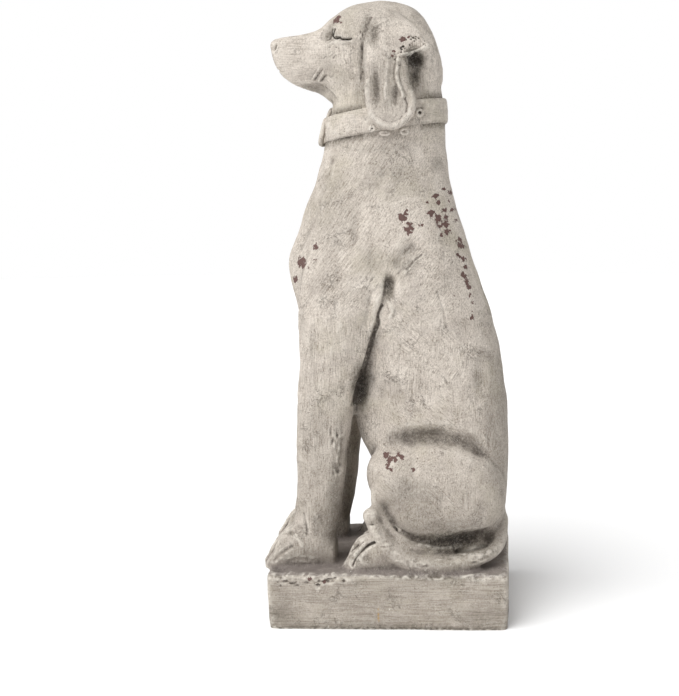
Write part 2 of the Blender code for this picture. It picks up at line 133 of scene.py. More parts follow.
def together(name, surfaces):
    """One mesh object from several closed surfaces, faces turned outwards."""
    points, faces, start = [], [], 0
    for p, f in surfaces:
        points.append(p)
        faces += [[start + i for i in face] for face in f]
        start += len(p)
    mesh = bpy.data.meshes.new(name)
    mesh.from_pydata(np.concatenate(points).tolist(), [], faces)
    bm = bmesh.new()
    bm.from_mesh(mesh)
    bmesh.ops.recalc_face_normals(bm, faces=bm.faces)
    bm.to_mesh(mesh)
    bm.free()
    obj = bpy.data.objects.new(name, mesh)
    bpy.context.scene.collection.objects.link(obj)
    return obj


print("lofts and hoops are ready")

# %% [markdown]
# ## The drawing
# The rows below are the dog itself, read as a modeller reads callipers. The
# trunk is cut level from the haunches to the nape, the head upright from nose
# to nape, and the ears level from the skull to the tip of the flap.

# %% Rows of the drawing
# height, front, back, half width, squareness, how far the width sits back
TRUNK = [
    (-6, 6, 112, 58, 2.6, 0.05),
    (20, 0, 121, 62, 2.6, 0.05),
    (65, -8, 126, 65, 2.8, 0.00),
    (107, -25, 128, 64, 3.0, 0.00),
    (131, -38, 128, 63, 3.0, 0.00),
    (158, -45, 127, 61, 3.0, 0.00),
    (188, -50, 124, 59, 2.8, 0.00),
    (214, -62, 121, 60, 2.4, 0.05),
    (232, -86, 118, 63, 2.2, 0.10),
    (250, -105, 113, 65, 2.1, 0.12),
    (272, -110, 108, 68, 2.1, 0.12),
    (297, -117, 99, 70, 2.1, 0.12),
    (325, -121, 89, 70, 2.1, 0.10),
    (342, -117, 84, 68, 2.1, 0.08),
    (364, -109, 77, 65, 2.1, 0.05),
    (390, -101, 69, 61, 2.1, 0.03),
    (412, -92, 62, 56, 2.1, 0.00),
    (436, -85, 59, 53, 2.1, 0.00),
    (462, -79, 57, 51, 2.1, 0.00),
    (496, -72, 55, 50, 2.2, 0.00),
    (520, -69, 52, 49, 2.4, 0.00),
    (550, -58, 47, 46, 2.4, 0.00),
]
# height, front, back, middle of the width, half width, squareness
FORELEG = [
    (-4, -107, -67, 46, 22, 2.2),
    (20, -107, -62, 46, 22, 2.2),
    (48, -106, -57, 46, 22, 2.2),
    (76, -103, -53, 46, 23, 2.2),
    (112, -103, -49, 46, 24, 2.3),
    (154, -103, -43, 45, 26, 2.3),
    (188, -102, -38, 44, 28, 2.3),
    (218, -101, -28, 43, 30, 2.3),
    (245, -101, -18, 43, 31, 2.2),
    (275, -102, -10, 43, 32, 2.2),
    (305, -99, -2, 42, 32, 2.2),
    (335, -91, 6, 41, 30, 2.2),
    (362, -78, 12, 37, 27, 2.2),
    (392, -60, 14, 31, 23, 2.2),
    (420, -42, 12, 24, 16, 2.2),
]
LEG_BACK = {LEFT: 0.0, RIGHT: 3.5}
# y, top, bottom, half width, squareness, width held up high
HEAD = [
    (-141, 576, 562, 9, 2.4, 0.00),
    (-137, 579, 550, 15, 2.4, 0.00),
    (-129, 581, 537, 19, 2.6, 0.00),
    (-119, 582, 529, 22, 2.8, 0.00),
    (-105, 584, 523, 26, 2.8, 0.00),
    (-92, 587, 519, 30, 2.7, 0.04),
    (-82, 592, 514, 34, 2.5, 0.08),
    (-72, 602, 506, 38, 2.3, 0.12),
    (-59, 612, 500, 42, 2.2, 0.14),
    (-44, 618, 496, 45, 2.2, 0.14),
    (-28, 621, 494, 47, 2.2, 0.14),
    (-12, 622, 492, 48, 2.2, 0.12),
    (5, 620, 494, 48, 2.2, 0.10),
    (20, 614, 498, 46, 2.2, 0.05),
    (32, 603, 502, 42, 2.2, 0.00),
    (42, 585, 508, 36, 2.1, 0.00),
    (49, 566, 518, 27, 2.1, 0.00),
    (53, 548, 530, 12, 2.0, 0.00),
]
# height, front edge, back edge, how far out, half thickness
EAR = [
    (606, -16, -4, 32, 3),
    (600, -21, 9, 38, 5),
    (591, -24, 22, 44, 7),
    (580, -27, 31, 49, 8),
    (569, -29, 38, 53, 8),
    (562, -30, 42, 54, 8),
    (556, -30, 34, 55, 9),
    (548, -30, 22, 56, 10),
    (538, -30, 19, 57, 10),
    (527, -29, 21, 57, 10),
    (515, -28, 25, 57, 10),
    (502, -26, 28, 57, 10),
    (489, -23, 26, 57, 10),
    (477, -16, 16, 58, 8),
    (471, -8, 4, 58, 5),
]
print(len(TRUNK) + len(FORELEG) + len(HEAD) + len(EAR), "rows drawn")

# %% [markdown]
# ## Trunk, legs, head and ears
# Each of these is one loft. They overlap freely, because the clay is fused
# into one skin afterwards, so no edge has to meet another.

# %% Lofts of the big forms
def trunk_outline(height, angle):
    """Superellipse in x and y at that height; x grows or shrinks towards the back by the shift."""
    rows = smooth_rows(TRUNK, 400)
    front, back, half, square, shift = (np.interp(height, rows[:, 0], rows[:, k]) for k in range(1, 6))
    cx, sy = rounded(angle, square)
    return half * cx * (1 + shift * sy), (front + back) / 2 + (back - front) / 2 * sy


def trunk(lowest, highest):
    """The trunk's outline carried up from one height to another."""
    height = np.linspace(lowest, highest, RINGS)[:, None]
    return loft(place(*trunk_outline(height, AROUND), height))


def foreleg(side):
    """Level superellipses up the leg, each with its own front, back and middle."""
    height, front, back, middle, half, square = smooth_rows(FORELEG, RINGS).T[:, :, None]
    back = back + LEG_BACK[side]
    cx, sy = rounded(AROUND, square)
    return loft(place(side * (middle + half * cx),
        (front + back) / 2 + (back - front) / 2 * sy, height))


def head():
    """Upright superellipses from nose to nape; the width leans to the top where it is held high."""
    y, top, bottom, half, square, high = smooth_rows(HEAD, RINGS).T[:, :, None]
    cx, sz = rounded(AROUND, square)
    return loft(place(half * cx * (1 + high * sz), y, (top + bottom) / 2 + (top - bottom) / 2 * sz))


def ear(side):
    """Level flat superellipses down the flap, set out from the skull."""
    height, front, back, out, thick = smooth_rows(EAR, RINGS).T[:, :, None]
    cy, sx = rounded(AROUND, 3.4)
    return loft(place(side * (out + thick * sx), (front + back) / 2 + (back - front) / 2 * cy, height))


print("trunk is", 2 * max(row[3] for row in TRUNK), "mm wide at the shoulder")

# %% [markdown]
# ## Tail, shins, thighs and paws
# A tail is a rope: circles of changing size carried along a path. A thigh is a
# ball of clay pressed out of round. A paw is a wedge that slopes to the
# ground, with a short bent rope on it for each toe.

# %% Ropes, balls and paws
# x, y, height, radius
TAIL = [
    (-22, 106, 46, 15),
    (10, 116, 34, 12),
    (40, 118, 24, 9),
    (62, 112, 18, 8),
    (73, 98, 14, 9),
    (78, 78, 9, 10),
    (80, 55, 6, 11),
    (80, 31, 7, 11),
    (80, 12, 15, 10),
    (80, -3, 28, 9),
    (80, -12, 42, 8),
    (79, -17, 51, 6.5),
    (79, -19, 60, 8.5),
    (78, -20, 66, 4),
]
SHIN = [
    (58, -6, 108, 7),
    (65, -13, 92, 7),
    (70, -14, 70, 5),
    (72, -5, 50, 4.5),
    (73, 9, 34, 4.5),
    (73, 30, 24, 4.5),
    (70, 58, 19, 4.5),
    (56, 84, 26, 5),
]
# clay that closes the gap between shin, thigh and tail
UNDER_THIGH = [(56, 8, 36, 6), (57, 34, 27, 8), (54, 62, 25, 9), (44, 88, 30, 10)]
# centre x, y, height, half width, half length, half height, tilt in degrees
THIGH = [
    (45, 52, 80, 40, 75, 56, -12),
    (54, 52, 80, 31, 71, 57, -10),
    (50, 10, 97, 34, 36, 41, 0),
]
# y, top, half width
FOREPAW = [
    (-60, 24, 17),
    (-72, 40, 23),
    (-86, 46, 26),
    (-100, 44, 27),
    (-109, 36, 28),
    (-117, 28, 28),
    (-124, 17, 27),
    (-131, 9, 23),
    (-135, 2, 17),
    (-137, -3, 8),
]
HIND_PAW = [
    (36, 20, 14),
    (18, 32, 18),
    (-4, 37, 20),
    (-20, 35, 21),
    (-30, 29, 21),
    (-38, 20, 20),
    (-44, 11, 16),
    (-48, 4, 9),
]
# across, tip, radius
FORE_TOES = [(-19, -128, 7), (-7, -134, 8), (7, -134, 8), (19, -128, 7)]
HIND_TOES = [(-14, -40, 6), (-5, -46, 7), (5, -46, 7), (14, -40, 6)]
FOREPAW_MIDDLE, HIND_PAW_MIDDLE = 47, 66
PAW_LEAD = {LEFT: 0, RIGHT: -5}
PAW_SINK = -6.0
PAW_CREST = 50.0             # strokes drawn from above cut nothing higher than this


def rope(path, side=LEFT, rings=RINGS):
    """Circles square to the path: across is the tangent crossed with up, and
    the third axis is square to both."""
    rows = smooth_rows(path, rings)
    spine, radius = rows[:, :3], rows[:, 3:4]
    along = np.gradient(spine, axis=0)
    along /= np.linalg.norm(along, axis=1, keepdims=True)
    across = np.cross(along, (0.0, 0.0, 1.0))
    across /= np.linalg.norm(across, axis=1, keepdims=True)
    up = np.cross(across, along)
    c, s = np.cos(AROUND), np.sin(AROUND)
    sideways, upwards = (radius * c)[..., None] * across[:, None], (radius * s)[..., None] * up[:, None]
    p = spine[:, None] + sideways + upwards
    return loft(place(side * p[..., 0], p[..., 1], p[..., 2]))


def ball(side, x, y, h, half_width, half_length, half_height, tilt):
    """Ellipsoid by polar angle and turn, tilted about x."""
    polar = np.linspace(0.05, np.pi - 0.05, 40)[:, None]
    u = np.cos(polar) + 0 * AROUND
    along = half_length * np.sin(polar) * np.cos(AROUND)
    rise = half_height * np.sin(polar) * np.sin(AROUND)
    lean = np.radians(tilt)
    return loft(place(
        side * (x + half_width * u),
        y + along * np.cos(lean) - rise * np.sin(lean),
        h + along * np.sin(lean) + rise * np.cos(lean)))


def paw(side, table, toes, middle, lead=0.0):
    """Upright superellipses between the sunk sole and the top, and a rope over
    the crest for each toe."""
    rows = smooth_rows(table, RINGS)
    y, top, half = rows.T[:, :, None]
    heel = rows[0, 0]
    stretch = 1.0 - lead / (heel - rows[-1, 0])
    y = heel + (y - heel) * stretch
    cx, sz = rounded(AROUND, 2.6)
    made = [loft(place(side * (middle + half * cx), y,
        (top + PAW_SINK) / 2 + (top - PAW_SINK) / 2 * sz))]
    for across, tip, radius in toes:
        tip = heel + (tip - heel) * stretch
        crest, rear = (np.interp(-at, -y[:, 0], top[:, 0]) for at in (tip + 16, tip + 30))
        made.append(rope([
            (middle + 0.7 * across, tip + 30, rear - radius - 2, radius),
            (middle + 0.9 * across, tip + 16, crest - radius + 2.5, radius),
            (middle + across, tip + 6, 5, radius - 0.5),
            (middle + across, tip + 1, 1, radius - 2),
            (middle + across, tip - 1, -2, radius - 5)], side, 24))
    return made


steps = np.diff(smooth_rows(TAIL, 99)[:, :3], axis=0)
print("the tail is", round(float(np.linalg.norm(steps, axis=1).sum())), "mm long")

# %% [markdown]
# ## The plinth
# The plinth is cast with the dog, so it belongs to the same skin. It is one
# profile, from the middle of the underside round the side to the middle of the
# top, carried round a rounded rectangle. A beveled cube would do as well, but
# the grid fuses with the paws without thin slivers.

# %% Plinth
PLINTH_BATTER = 3.0


def plinth():
    """Rounded rectangle, a superellipse of squareness 40, scaled by the
    profile's reach at each height."""
    reach = np.array([0.02, 0.5, 0.985, 0.996, 1, 1, 1, 0.996, 0.985, 0.5, 0.02])[:, None]
    level = np.array([-63, -63, -63, -62.5, -61, -30, -4, -1.2, 0, 0, 0])[:, None]
    angle = np.linspace(0, 2 * np.pi, 160, endpoint=False)[None, :]
    cx, sy = rounded(angle, 40.0)
    y = PLINTH_LENGTH / MM / 2 * sy * reach
    y = y + PLINTH_BATTER * np.clip(-level / 59, 0, 1) * np.clip(-sy, 0, 1) * reach
    return loft(place(PLINTH_WIDTH / MM / 2 * cx * reach, y, level))


print("plinth", PLINTH_WIDTH, "by", PLINTH_LENGTH, "m")

# %% [markdown]
# ## Fuse the clay
# A voxel remesh walks a fine lattice through the overlapping lofts and lays
# one even skin over all of them. A short smoothing takes off the lattice's
# steps. The head is made apart from the body at a finer grain, because a face
# needs it; the joint between them lies under the collar, which hides it.

# %% Fuse
GRAIN_BODY, GRAIN_HEAD = 0.0026, 0.0017


def finish_modifiers(obj):
    """Swap the object's mesh for the one its modifiers give."""
    made = bpy.data.meshes.new_from_object(obj.evaluated_get(bpy.context.evaluated_depsgraph_get()))
    obj.modifiers.clear()
    obj.data = made


def fuse(obj, grain, passes):
    """Remesh on cubes of that grain, then move each point half way to its neighbours' mean, pass by pass."""
    remesh = obj.modifiers.new("one skin", "REMESH")
    remesh.mode, remesh.voxel_size = "VOXEL", grain
    smooth = obj.modifiers.new("smooth", "SMOOTH")
    smooth.factor, smooth.iterations = 0.5, passes
    finish_modifiers(obj)


both = (LEFT, RIGHT)
body = together("dog_body", [trunk(-6, 489), rope(TAIL), plinth()]
                + [foreleg(s) for s in both]
                + [rope(path, s) for s in both for path in (SHIN, UNDER_THIGH)]
                + [ball(s, *b) for s in both for b in THIGH]
                + [p for s in both for p in paw(s, FOREPAW, FORE_TOES, FOREPAW_MIDDLE, PAW_LEAD[s])]
                + [p for s in both for p in paw(s, HIND_PAW, HIND_TOES, HIND_PAW_MIDDLE)])
face = together("dog_head", [trunk(477, 550), head()] + [ear(s) for s in both])
fuse(body, GRAIN_BODY, 3)
fuse(face, GRAIN_HEAD, 3)
print("body", len(body.data.polygons), "faces, head", len(face.data.polygons))

# %% [markdown]
# ## Tools for carving
# The skin is now a set of arrays: points, normals and the edges between them.
# Five tools work on it. Blend rubs a hollow smooth with the thumb, press
# pushes a soft round patch in or out, stroke draws a wooden tool along a line,
# ledge cuts a step that is sharp on one side, and lumps moves the whole surface
# by smooth random noise, as hands do.

# %% Carving tools
LATTICE = 32                 # cells of random numbers along each axis


class Skin:
    """Points in drawn millimetres with their normals and neighbours."""

    def __init__(self, obj):
        self.mesh = obj.data
        count = len(self.mesh.vertices)
        flat = np.empty(count * 3, np.float32)
        self.mesh.vertices.foreach_get("co", flat)
        self.p = (flat.reshape(-1, 3).astype(float) - (0, 0, PLINTH_TOP)) / MM
        pairs = np.empty(len(self.mesh.edges) * 2, np.int32)
        self.mesh.edges.foreach_get("vertices", pairs)
        pairs = pairs.reshape(-1, 2)
        self.a, self.b = np.concatenate((pairs, pairs[:, ::-1])).T
        self.valence = np.bincount(self.a, minlength=count)[:, None]
        self.store()

    def store(self):
        """Write the points to the mesh and read their normals back."""
        metres = self.p * MM + (0, 0, PLINTH_TOP)
        self.mesh.vertices.foreach_set("co", metres.astype(np.float32).ravel())
        self.mesh.update()
        flat = np.empty(len(self.p) * 3, np.float32)
        self.mesh.vertex_normals.foreach_get("vector", flat)
        self.normal = flat.reshape(-1, 3).astype(float)

    def mean(self, values, a=None, b=None):
        """Mean of each point's neighbours."""
        a, b = (self.a, self.b) if a is None else (a, b)
        sums = [np.bincount(a, values[b, k], len(self.p)) for k in range(values.shape[1])]
        return np.stack(sums, 1) / self.valence

    def blend(self, centre, radii, repeat):
        """Move points to the mean of their neighbours, with a weight that fades
        to the rim of an ellipsoid."""
        reach = (((self.p - centre) / radii) ** 2).sum(axis=1)
        weight = np.clip(1.5 - 1.5 * reach, 0, 1)[:, None]
        near = weight[self.a, 0] > 0
        a, b = self.a[near], self.b[near]
        for _ in range(repeat):
            self.p += 0.6 * weight * (self.mean(self.p, a, b) - self.p) * (weight > 0)

    def press(self, centre, radii, depth):
        """Along the normal by depth times one minus the squared reach, squared."""
        reach = (((self.p - centre) / radii) ** 2).sum(axis=1)
        self.p += (depth * np.clip(1 - reach, 0, 1) ** 2)[:, None] * self.normal

    def near_line(self, line, facing, beyond, width):
        """Points seen from one side that lie near a drawn line: their numbers,
        their distance, how far they are from its ends or from where the surface
        turns away, up to 1 where the cut is full, and on which hand they lie."""
        line = smooth_rows(line, 6 * len(line))
        flat = self.p[:, :2] if facing == ABOVE else self.p[:, 1:]
        outward = self.p[:, 2] if facing == ABOVE else facing * self.p[:, 0]
        towards = self.normal[:, 2] if facing == ABOVE else facing * self.normal[:, 0]
        close = np.all((flat > line.min(axis=0) - width) & (flat < line.max(axis=0) + width), axis=1)
        close &= (outward > beyond) & (towards > 0.05)
        if facing == ABOVE:
            close &= outward < PAW_CREST
        close = np.flatnonzero(close)
        flat = flat[close]
        nearest, along, hand = np.full(len(flat), np.inf), np.zeros(len(flat)), np.zeros(len(flat))
        for k, (start, end) in enumerate(zip(line, line[1:])):
            run, apart = end - start, flat - start
            share = np.clip((apart @ run) / max(run @ run, 1e-9), 0, 1)
            distance = np.linalg.norm(apart - share[:, None] * run, axis=1)
            closer = distance < nearest
            nearest = np.where(closer, distance, nearest)
            along = np.where(closer, (k + share) / (len(line) - 1), along)
            hand = np.where(closer, run[0] * apart[:, 1] - run[1] * apart[:, 0], hand)
        ends = np.minimum(along, 1 - along) * np.linalg.norm(np.diff(line, axis=0), axis=1).sum()
        edge = np.minimum((outward[close] - beyond) / 5, towards[close] / 0.3)
        return close, nearest, np.minimum(ends / (0.5 + 1.4 * width), edge), hand

    def stroke(self, line, width, depth, facing, beyond=-999.0):
        """Along the normal by a hump across the line; its ends fade out."""
        close, nearest, ends, _ = self.near_line(line, facing, beyond, width)
        self.move(close, depth, nearest / width, ends)

    def ledge(self, line, width, depth, facing, beyond=-999.0, lip=1.4):
        """Like a stroke, but it fades over the width on the line's left and
        drops within the lip on its right."""
        close, nearest, ends, hand = self.near_line(line, facing, beyond, width)
        self.move(close, depth, nearest / np.where(hand > 0, width, lip), ends)

    def move(self, close, depth, reach, ends):
        """Along the normal by depth times one minus the squared reach, squared,
        and times a smoothstep of the ends."""
        ends = np.clip(ends, 0, 1)
        fade = np.clip(1 - reach**2, 0, 1) ** 2 * ends * ends * (3 - 2 * ends)
        self.p[close] += (depth * fade)[:, None] * self.normal[close]

    def lumps(self, size, height, seed):
        """Along the normal by value noise whose cells are size across."""
        self.p += (height * (2 * value_noise(self.p, size, seed) - 1))[:, None] * self.normal


def value_noise(p, size, seed):
    """Random numbers on a lattice, mixed between its eight corners with smooth weights."""
    lattice = np.random.default_rng(seed).random((LATTICE,) * 3)
    cell = np.asarray(p, float) / size
    low = np.floor(cell).astype(int)
    f = cell - low
    f = f * f * (3 - 2 * f)
    total = 0.0
    for corner in np.ndindex(2, 2, 2):
        w = np.abs(1 - np.array(corner) - f)
        total = total + w[:, 0] * w[:, 1] * w[:, 2] * lattice[tuple(((low + corner) % LATTICE).T)]
    return total


sample = value_noise(np.random.default_rng(1).random((999, 3)) * 99, 5, 2)
print("noise lies between 0 and 1, mean", round(float(sample.mean()), 2))

# %% [markdown]
# ## Rub the joints and make the mesh finer
# Shoulder into chest, knee into thigh and cheek into neck are rubbed smooth
# while the mesh is coarse, which is quick. One level of Catmull-Clark
# subdivision then halves the grain for the fine work.

# %% Rub and refine
def refine(obj):
    """One level of Catmull-Clark: each face becomes four."""
    finer = obj.modifiers.new("finer", "SUBSURF")
    finer.levels = finer.render_levels = 1
    finish_modifiers(obj)


rubbed = Skin(body)
for side in both:
    rubbed.blend((side * 50, -10, 300), (44, 70, 120), 14)
    rubbed.blend((side * 58, -30, 372), (40, 62, 66), 60)
    rubbed.blend((side * 66, 2, 104), (34, 26, 40), 34)
rubbed.store()
rubbed = Skin(face)
for side in both:
    rubbed.blend((side * 36, -45, 522), (34, 44, 30), 100)
rubbed.store()
for obj in (body, face):
    refine(obj)
print("after refining:", len(body.data.vertices), "and", len(face.data.vertices), "points")

# %% [markdown]
# ## Carve the head
# The eye is a ball in a socket under a brow. The lip is a shallow line, the
# jaw has a hard lower edge, and the ear is a slab whose rim stands up round a
# sunken middle. Every line is given as y and height on the side of the head,
# and is cut on both sides.

# %% Head
skin = Skin(face)
for side in both:
    # hollow before the eye, eyeball, heavy upper lid, the line under them
    skin.press((side * 36, -66, 577), (13, 11, 10), -3.0)
    skin.press((side * 34, -72, 575), (12, 11, 8), -1.6)
    skin.press((side * 38, -61, 579), (12, 5, 6), 2.8)
    skin.press((side * 42, -48, 586), (14, 15, 12), 3.0)
    skin.ledge([(-41, 574), (-46, 572.5), (-55, 573), (-58, 574.6), (-61, 574), (-65, 575.7),
        (-65.8, 580), (-63, 586)], 7, -1.3, side, 20, 1.0)
    skin.stroke([(-62.5, 586), (-63.3, 584.3), (-65.4, 579.3), (-65, 575.7), (-61, 574), (-57.4, 574.8),
        (-55.3, 573), (-50.3, 572.5), (-45.8, 572.5), (-43, 574)], 2.0, -2.9, side, 20)
    skin.stroke([(-66, 588), (-67, 582.6), (-68, 576.9), (-69.8, 573.3),
        (-75, 571.9)], 1.8, -1.1, side, 20)
    skin.stroke([(-68, 570), (-58, 569), (-48, 567.5)], 2.6, 0.7, side, 20)
    # nose pad, nostril, lip and jaw
    skin.press((side * 7, -137, 571), (10, 7, 7), 1.8)
    skin.press((side * 6.5, -142, 569.5), (3.4, 8, 2.8), -3.4)
    skin.stroke([(-138, 563.5), (-135, 566), (-133.5, 570), (-131, 572)], 2.4, -2.4, side, 3)
    skin.stroke([(-129, 577), (-130, 568), (-134, 559)], 2.4, -0.8, side, 5)
    skin.stroke([(-134, 543), (-122, 545), (-110, 547), (-94, 548)], 5, -0.5, side, 6)
    skin.ledge([(-58, 500), (-66, 512.5), (-75.7, 520.9), (-81, 525.2), (-92, 525.6), (-104.8, 526.5),
        (-119.4, 529.9), (-131, 538)], 13, -3.4, side, 5, 1.2)
    skin.stroke([(-128, 537), (-119.4, 531.9), (-104.8, 528.5), (-82, 527.2),
        (-76, 523)], 3.2, 1.2, side, 8)
    # cheek and the marks behind the lip
    skin.press((side * 46, -44, 546), (20, 20, 22), 1.8)
    skin.press((side * 38, -72, 533), (16, 12, 12), -1.2)
    for start, end in (((-91.4, 529.2), (-79.2, 544.8)), ((-84.7, 527), (-75.8, 538.1))):
        skin.stroke([start, end], 2.0, 1.0, side, 16)
        beside = [(start[0] + 2.6, start[1] - 0.6), (end[0] + 2.6, end[1] - 2.6)]
        skin.stroke(beside, 1.8, -0.8, side, 16)
    marks = np.random.default_rng(40 + side)
    for _ in range(11):
        y, h, long = marks.uniform(-83, -62), marks.uniform(548, 567), marks.uniform(3, 6)
        scratch = [(y, h), (y + long, h + 0.75 * long)]
        skin.stroke(scratch, 1.5, marks.choice([-0.7, -0.5, 0.5]), side, 18)
    # ear: arc over the skull, front edge, its pits, fold and lobe
    skin.ledge([(-10, 607), (8, 602.7), (19, 594), (27.7, 584), (34, 575.4),
        (41, 565.6)], 11, -2.4, side, 18, 1.4)
    skin.stroke([(-23, 488), (-27.5, 504.5), (-30.5, 526), (-31, 546), (-31, 564), (-28, 581),
        (-22, 600)], 5.0, -1.0, side, 24)
    for _ in range(12):
        h = marks.uniform(504, 586)
        skin.press((side * 50, -31 + 2.0 * marks.normal(), h),
            (30, marks.uniform(1.0, 1.8), marks.uniform(2, 7)), -0.9)
    skin.stroke([(-7.5, 598), (-7.5, 575), (-4, 552)], 7, 1.4, side, 40)
    skin.press((side * 66, -18, 576), (16, 6, 12), -2.2)
    skin.press((side * 66, 8, 580), (12, 14, 16), 1.2)
    skin.press((side * 52, 28, 550), (22, 13, 12), -9.0)
    skin.press((side * 52, 27, 536), (18, 9, 16), -6.0)
    skin.stroke([(42, 563), (31, 557), (19, 553), (11, 551), (9, 541), (8, 527), (14, 511),
        (15, 504)], 3.0, 2.4, side, 44)
    skin.stroke([(-25, 528), (-24, 503), (-19, 487), (-10, 478.5), (2, 475), (13, 479), (22, 489),
        (24.5, 502), (21, 516)], 4.6, 2.4, side, 50)
    skin.press((side * 68, -14, 516), (14, 9, 29), -5.0)
    skin.press((side * 68, 6, 508), (14, 7, 16), -3.4)
    skin.stroke([(-1, 556), (-3, 530), (-4, 500)], 3.6, 1.2, side, 50)
    skin.stroke([(16, 507), (19, 498), (18, 488)], 2.4, -1.6, side, 50)
    corner = smooth_rows([(40, 563), (33, 569), (25, 571), (16, 564), (9, 550), (10, 538)], 60)
    for y, h in marks.choice(corner, 46) + 1.8 * marks.normal(size=(46, 2)):
        skin.press((side * 56, y, h),
            (24, marks.uniform(1.1, 2.0), marks.uniform(1.1, 2.0)), marks.choice([-2.2, -1.6, 1.3]))
for h in np.linspace(562, 546, 9):
    skin.press((0, -137, h), (1.8, 8, 3), -0.9)
for x in np.linspace(-17, 17, 23):
    skin.press((x, -134 + 0.02 * x * x, 543.5 - 0.012 * x * x), (3, 9, 2.0), -0.8)
skin.store()
skin.lumps(16, 0.6, 3)
skin.lumps(6, 0.25, 4)
skin.store()
print("head carved,", len(skin.p), "points")

# %% [markdown]
# ## Carve the body
# The deep fold is the one between the near foreleg and the belly. Softer ones
# run from the neck over the shoulder and above the thigh. Toes are parted by
# short strokes from above and from the side. The front part of the plinth's
# left edge is broken, as the edge of a cast often is, and the tail and the
# backs of the forelegs are pitted.

# %% Body
skin = Skin(body)
for side in both:
    # fold behind the foreleg, from its pit down to the belly
    crease = [(-1, 322), (-5, 298), (-13, 268), (-22, 238), (-31, 210), (-37, 188), (-42, 168)]
    skin.ledge(crease, 15, -1.8, side, 25, 3.0)
    skin.ledge(crease[2:], 22, -4.0, side, 25, 3.0)
    skin.stroke([(y - 6, h) for y, h in crease[1:]], 8, 1.6, side, 25)
    skin.stroke([(-7, 284), (-13, 272), (-12, 262), (-17, 252), (-20, 240), (-28, 216), (-36, 192),
        (-42, 168)], 3.0, -1.5, side, 25)
    skin.press((side * 62, 1, 304), (18, 12, 16), -3.6)
    skin.press((side * 58, -24, 198), (18, 13, 28), -4.5)
    skin.stroke([(-1, 266), (3, 276), (-2, 288)], 2.4, 1.2, side, 30)
    skin.stroke([(-27, 228), (-29, 216), (-34, 204), (-37, 190)], 1.6, 1.0, side, 25)
    # neck, shoulder and ribs
    skin.stroke([(4, 452), (-18, 410), (-45, 356), (-64, 296)], 17, -2.4, side, 20)
    skin.stroke([(-66, 446), (-78, 405), (-88, 372), (-106, 336)], 7, -2.1, side, 6)
    skin.stroke([(8, 314), (14, 321), (20, 322), (28, 331), (37, 337)], 2.4, -0.6, side, 30)
    skin.stroke([(10, 260), (12, 238), (9, 214), (11, 184)], 3.4, -0.4, side, 30)
    skin.stroke([(32, 350), (20, 341), (8, 328), (-4, 300)], 13, -2.6, side, 15)
    skin.stroke([(-100, 300), (-78, 296), (-62, 306)], 10, -1.2, side, 15)
    skin.stroke([(16, 400), (44, 352), (64, 300)], 18, 1.6, side, 15)
    skin.stroke([(42, 341), (30, 330), (16, 315)], 1.8, 0.6, side, 30)
    skin.stroke([(50, 299), (58, 275), (61, 255)], 2.6, -0.6, side, 30)
    skin.press((side * 58, 96, 205), (30, 15, 36), -2.6)
    skin.press((side * 60, 105.5, 217.5), (26, 3, 3), -1.6)
    skin.press((side * 62, 12, 205), (30, 26, 28), 2.0)
    skin.stroke([(-97, 232), (-92, 250), (-95, 272)], 8, -1.2, side, 20)
    skin.stroke([(-50, 266), (-60, 238), (-64, 206)], 7, 1.0, side, 30)
    # valley over the thigh with its soft roll, and the edges of thigh and shin
    skin.stroke([(-20, 108), (-4, 124), (5, 131.5), (24, 139), (53, 140), (77, 136), (93, 128),
        (108, 112)], 14, -4.6, side, 30)
    skin.stroke([(4, 154), (34, 158), (56, 158), (86, 150)], 10, 1.2, side, 30)
    skin.press((side * 66, 92, 30), (34, 34, 15), -6.0)
    # wrist of the foreleg
    skin.press((side * 66, -84, 58), (16, 15, 26), 1.8)
    skin.stroke([(-50, 140), (-53, 114), (-56, 98)], 3.6, -1.5, side, 30)
    skin.stroke([(-93, 60), (-90, 46), (-88, 32)], 3.2, -1.0, side, 40)
    skin.stroke([(-99, 190), (-96, 150), (-97, 110)], 6, 0.9, side, 30)
    # toes
    for across in (-13, 0, 13):
        x = side * (FOREPAW_MIDDLE + across)
        skin.stroke([(x, -104), (x, -122), (x, -141)], 3.4, -3.0, ABOVE)
    for across in (-9, 0, 9):
        x = side * (HIND_PAW_MIDDLE + across)
        skin.stroke([(x, -20), (x, -36), (x, -52)], 3.0, -2.4, ABOVE)
    skin.stroke([(-38, 5), (-33, 16), (-22, 27), (-12, 32)], 2.6, -3.4, side, 70)
    skin.stroke([(-50, 8), (-40, 20), (-24, 33)], 2.4, -2.4, side, 66)
    skin.stroke([(-126, 6), (-114, 17), (-101, 25)], 3.6, -1.5, side, 60)
    skin.stroke([(-112, 5), (-98, 10), (-84, 8)], 3.4, -0.8, side, 60)
    skin.stroke([(-104, 36), (-97, 30), (-91, 20)], 4.0, 1.2, side, 60)
skin.store()
skin.lumps(24, 0.9, 11)
skin.lumps(8, 0.35, 12)
skin.store()
print("body carved,", len(skin.p), "points")

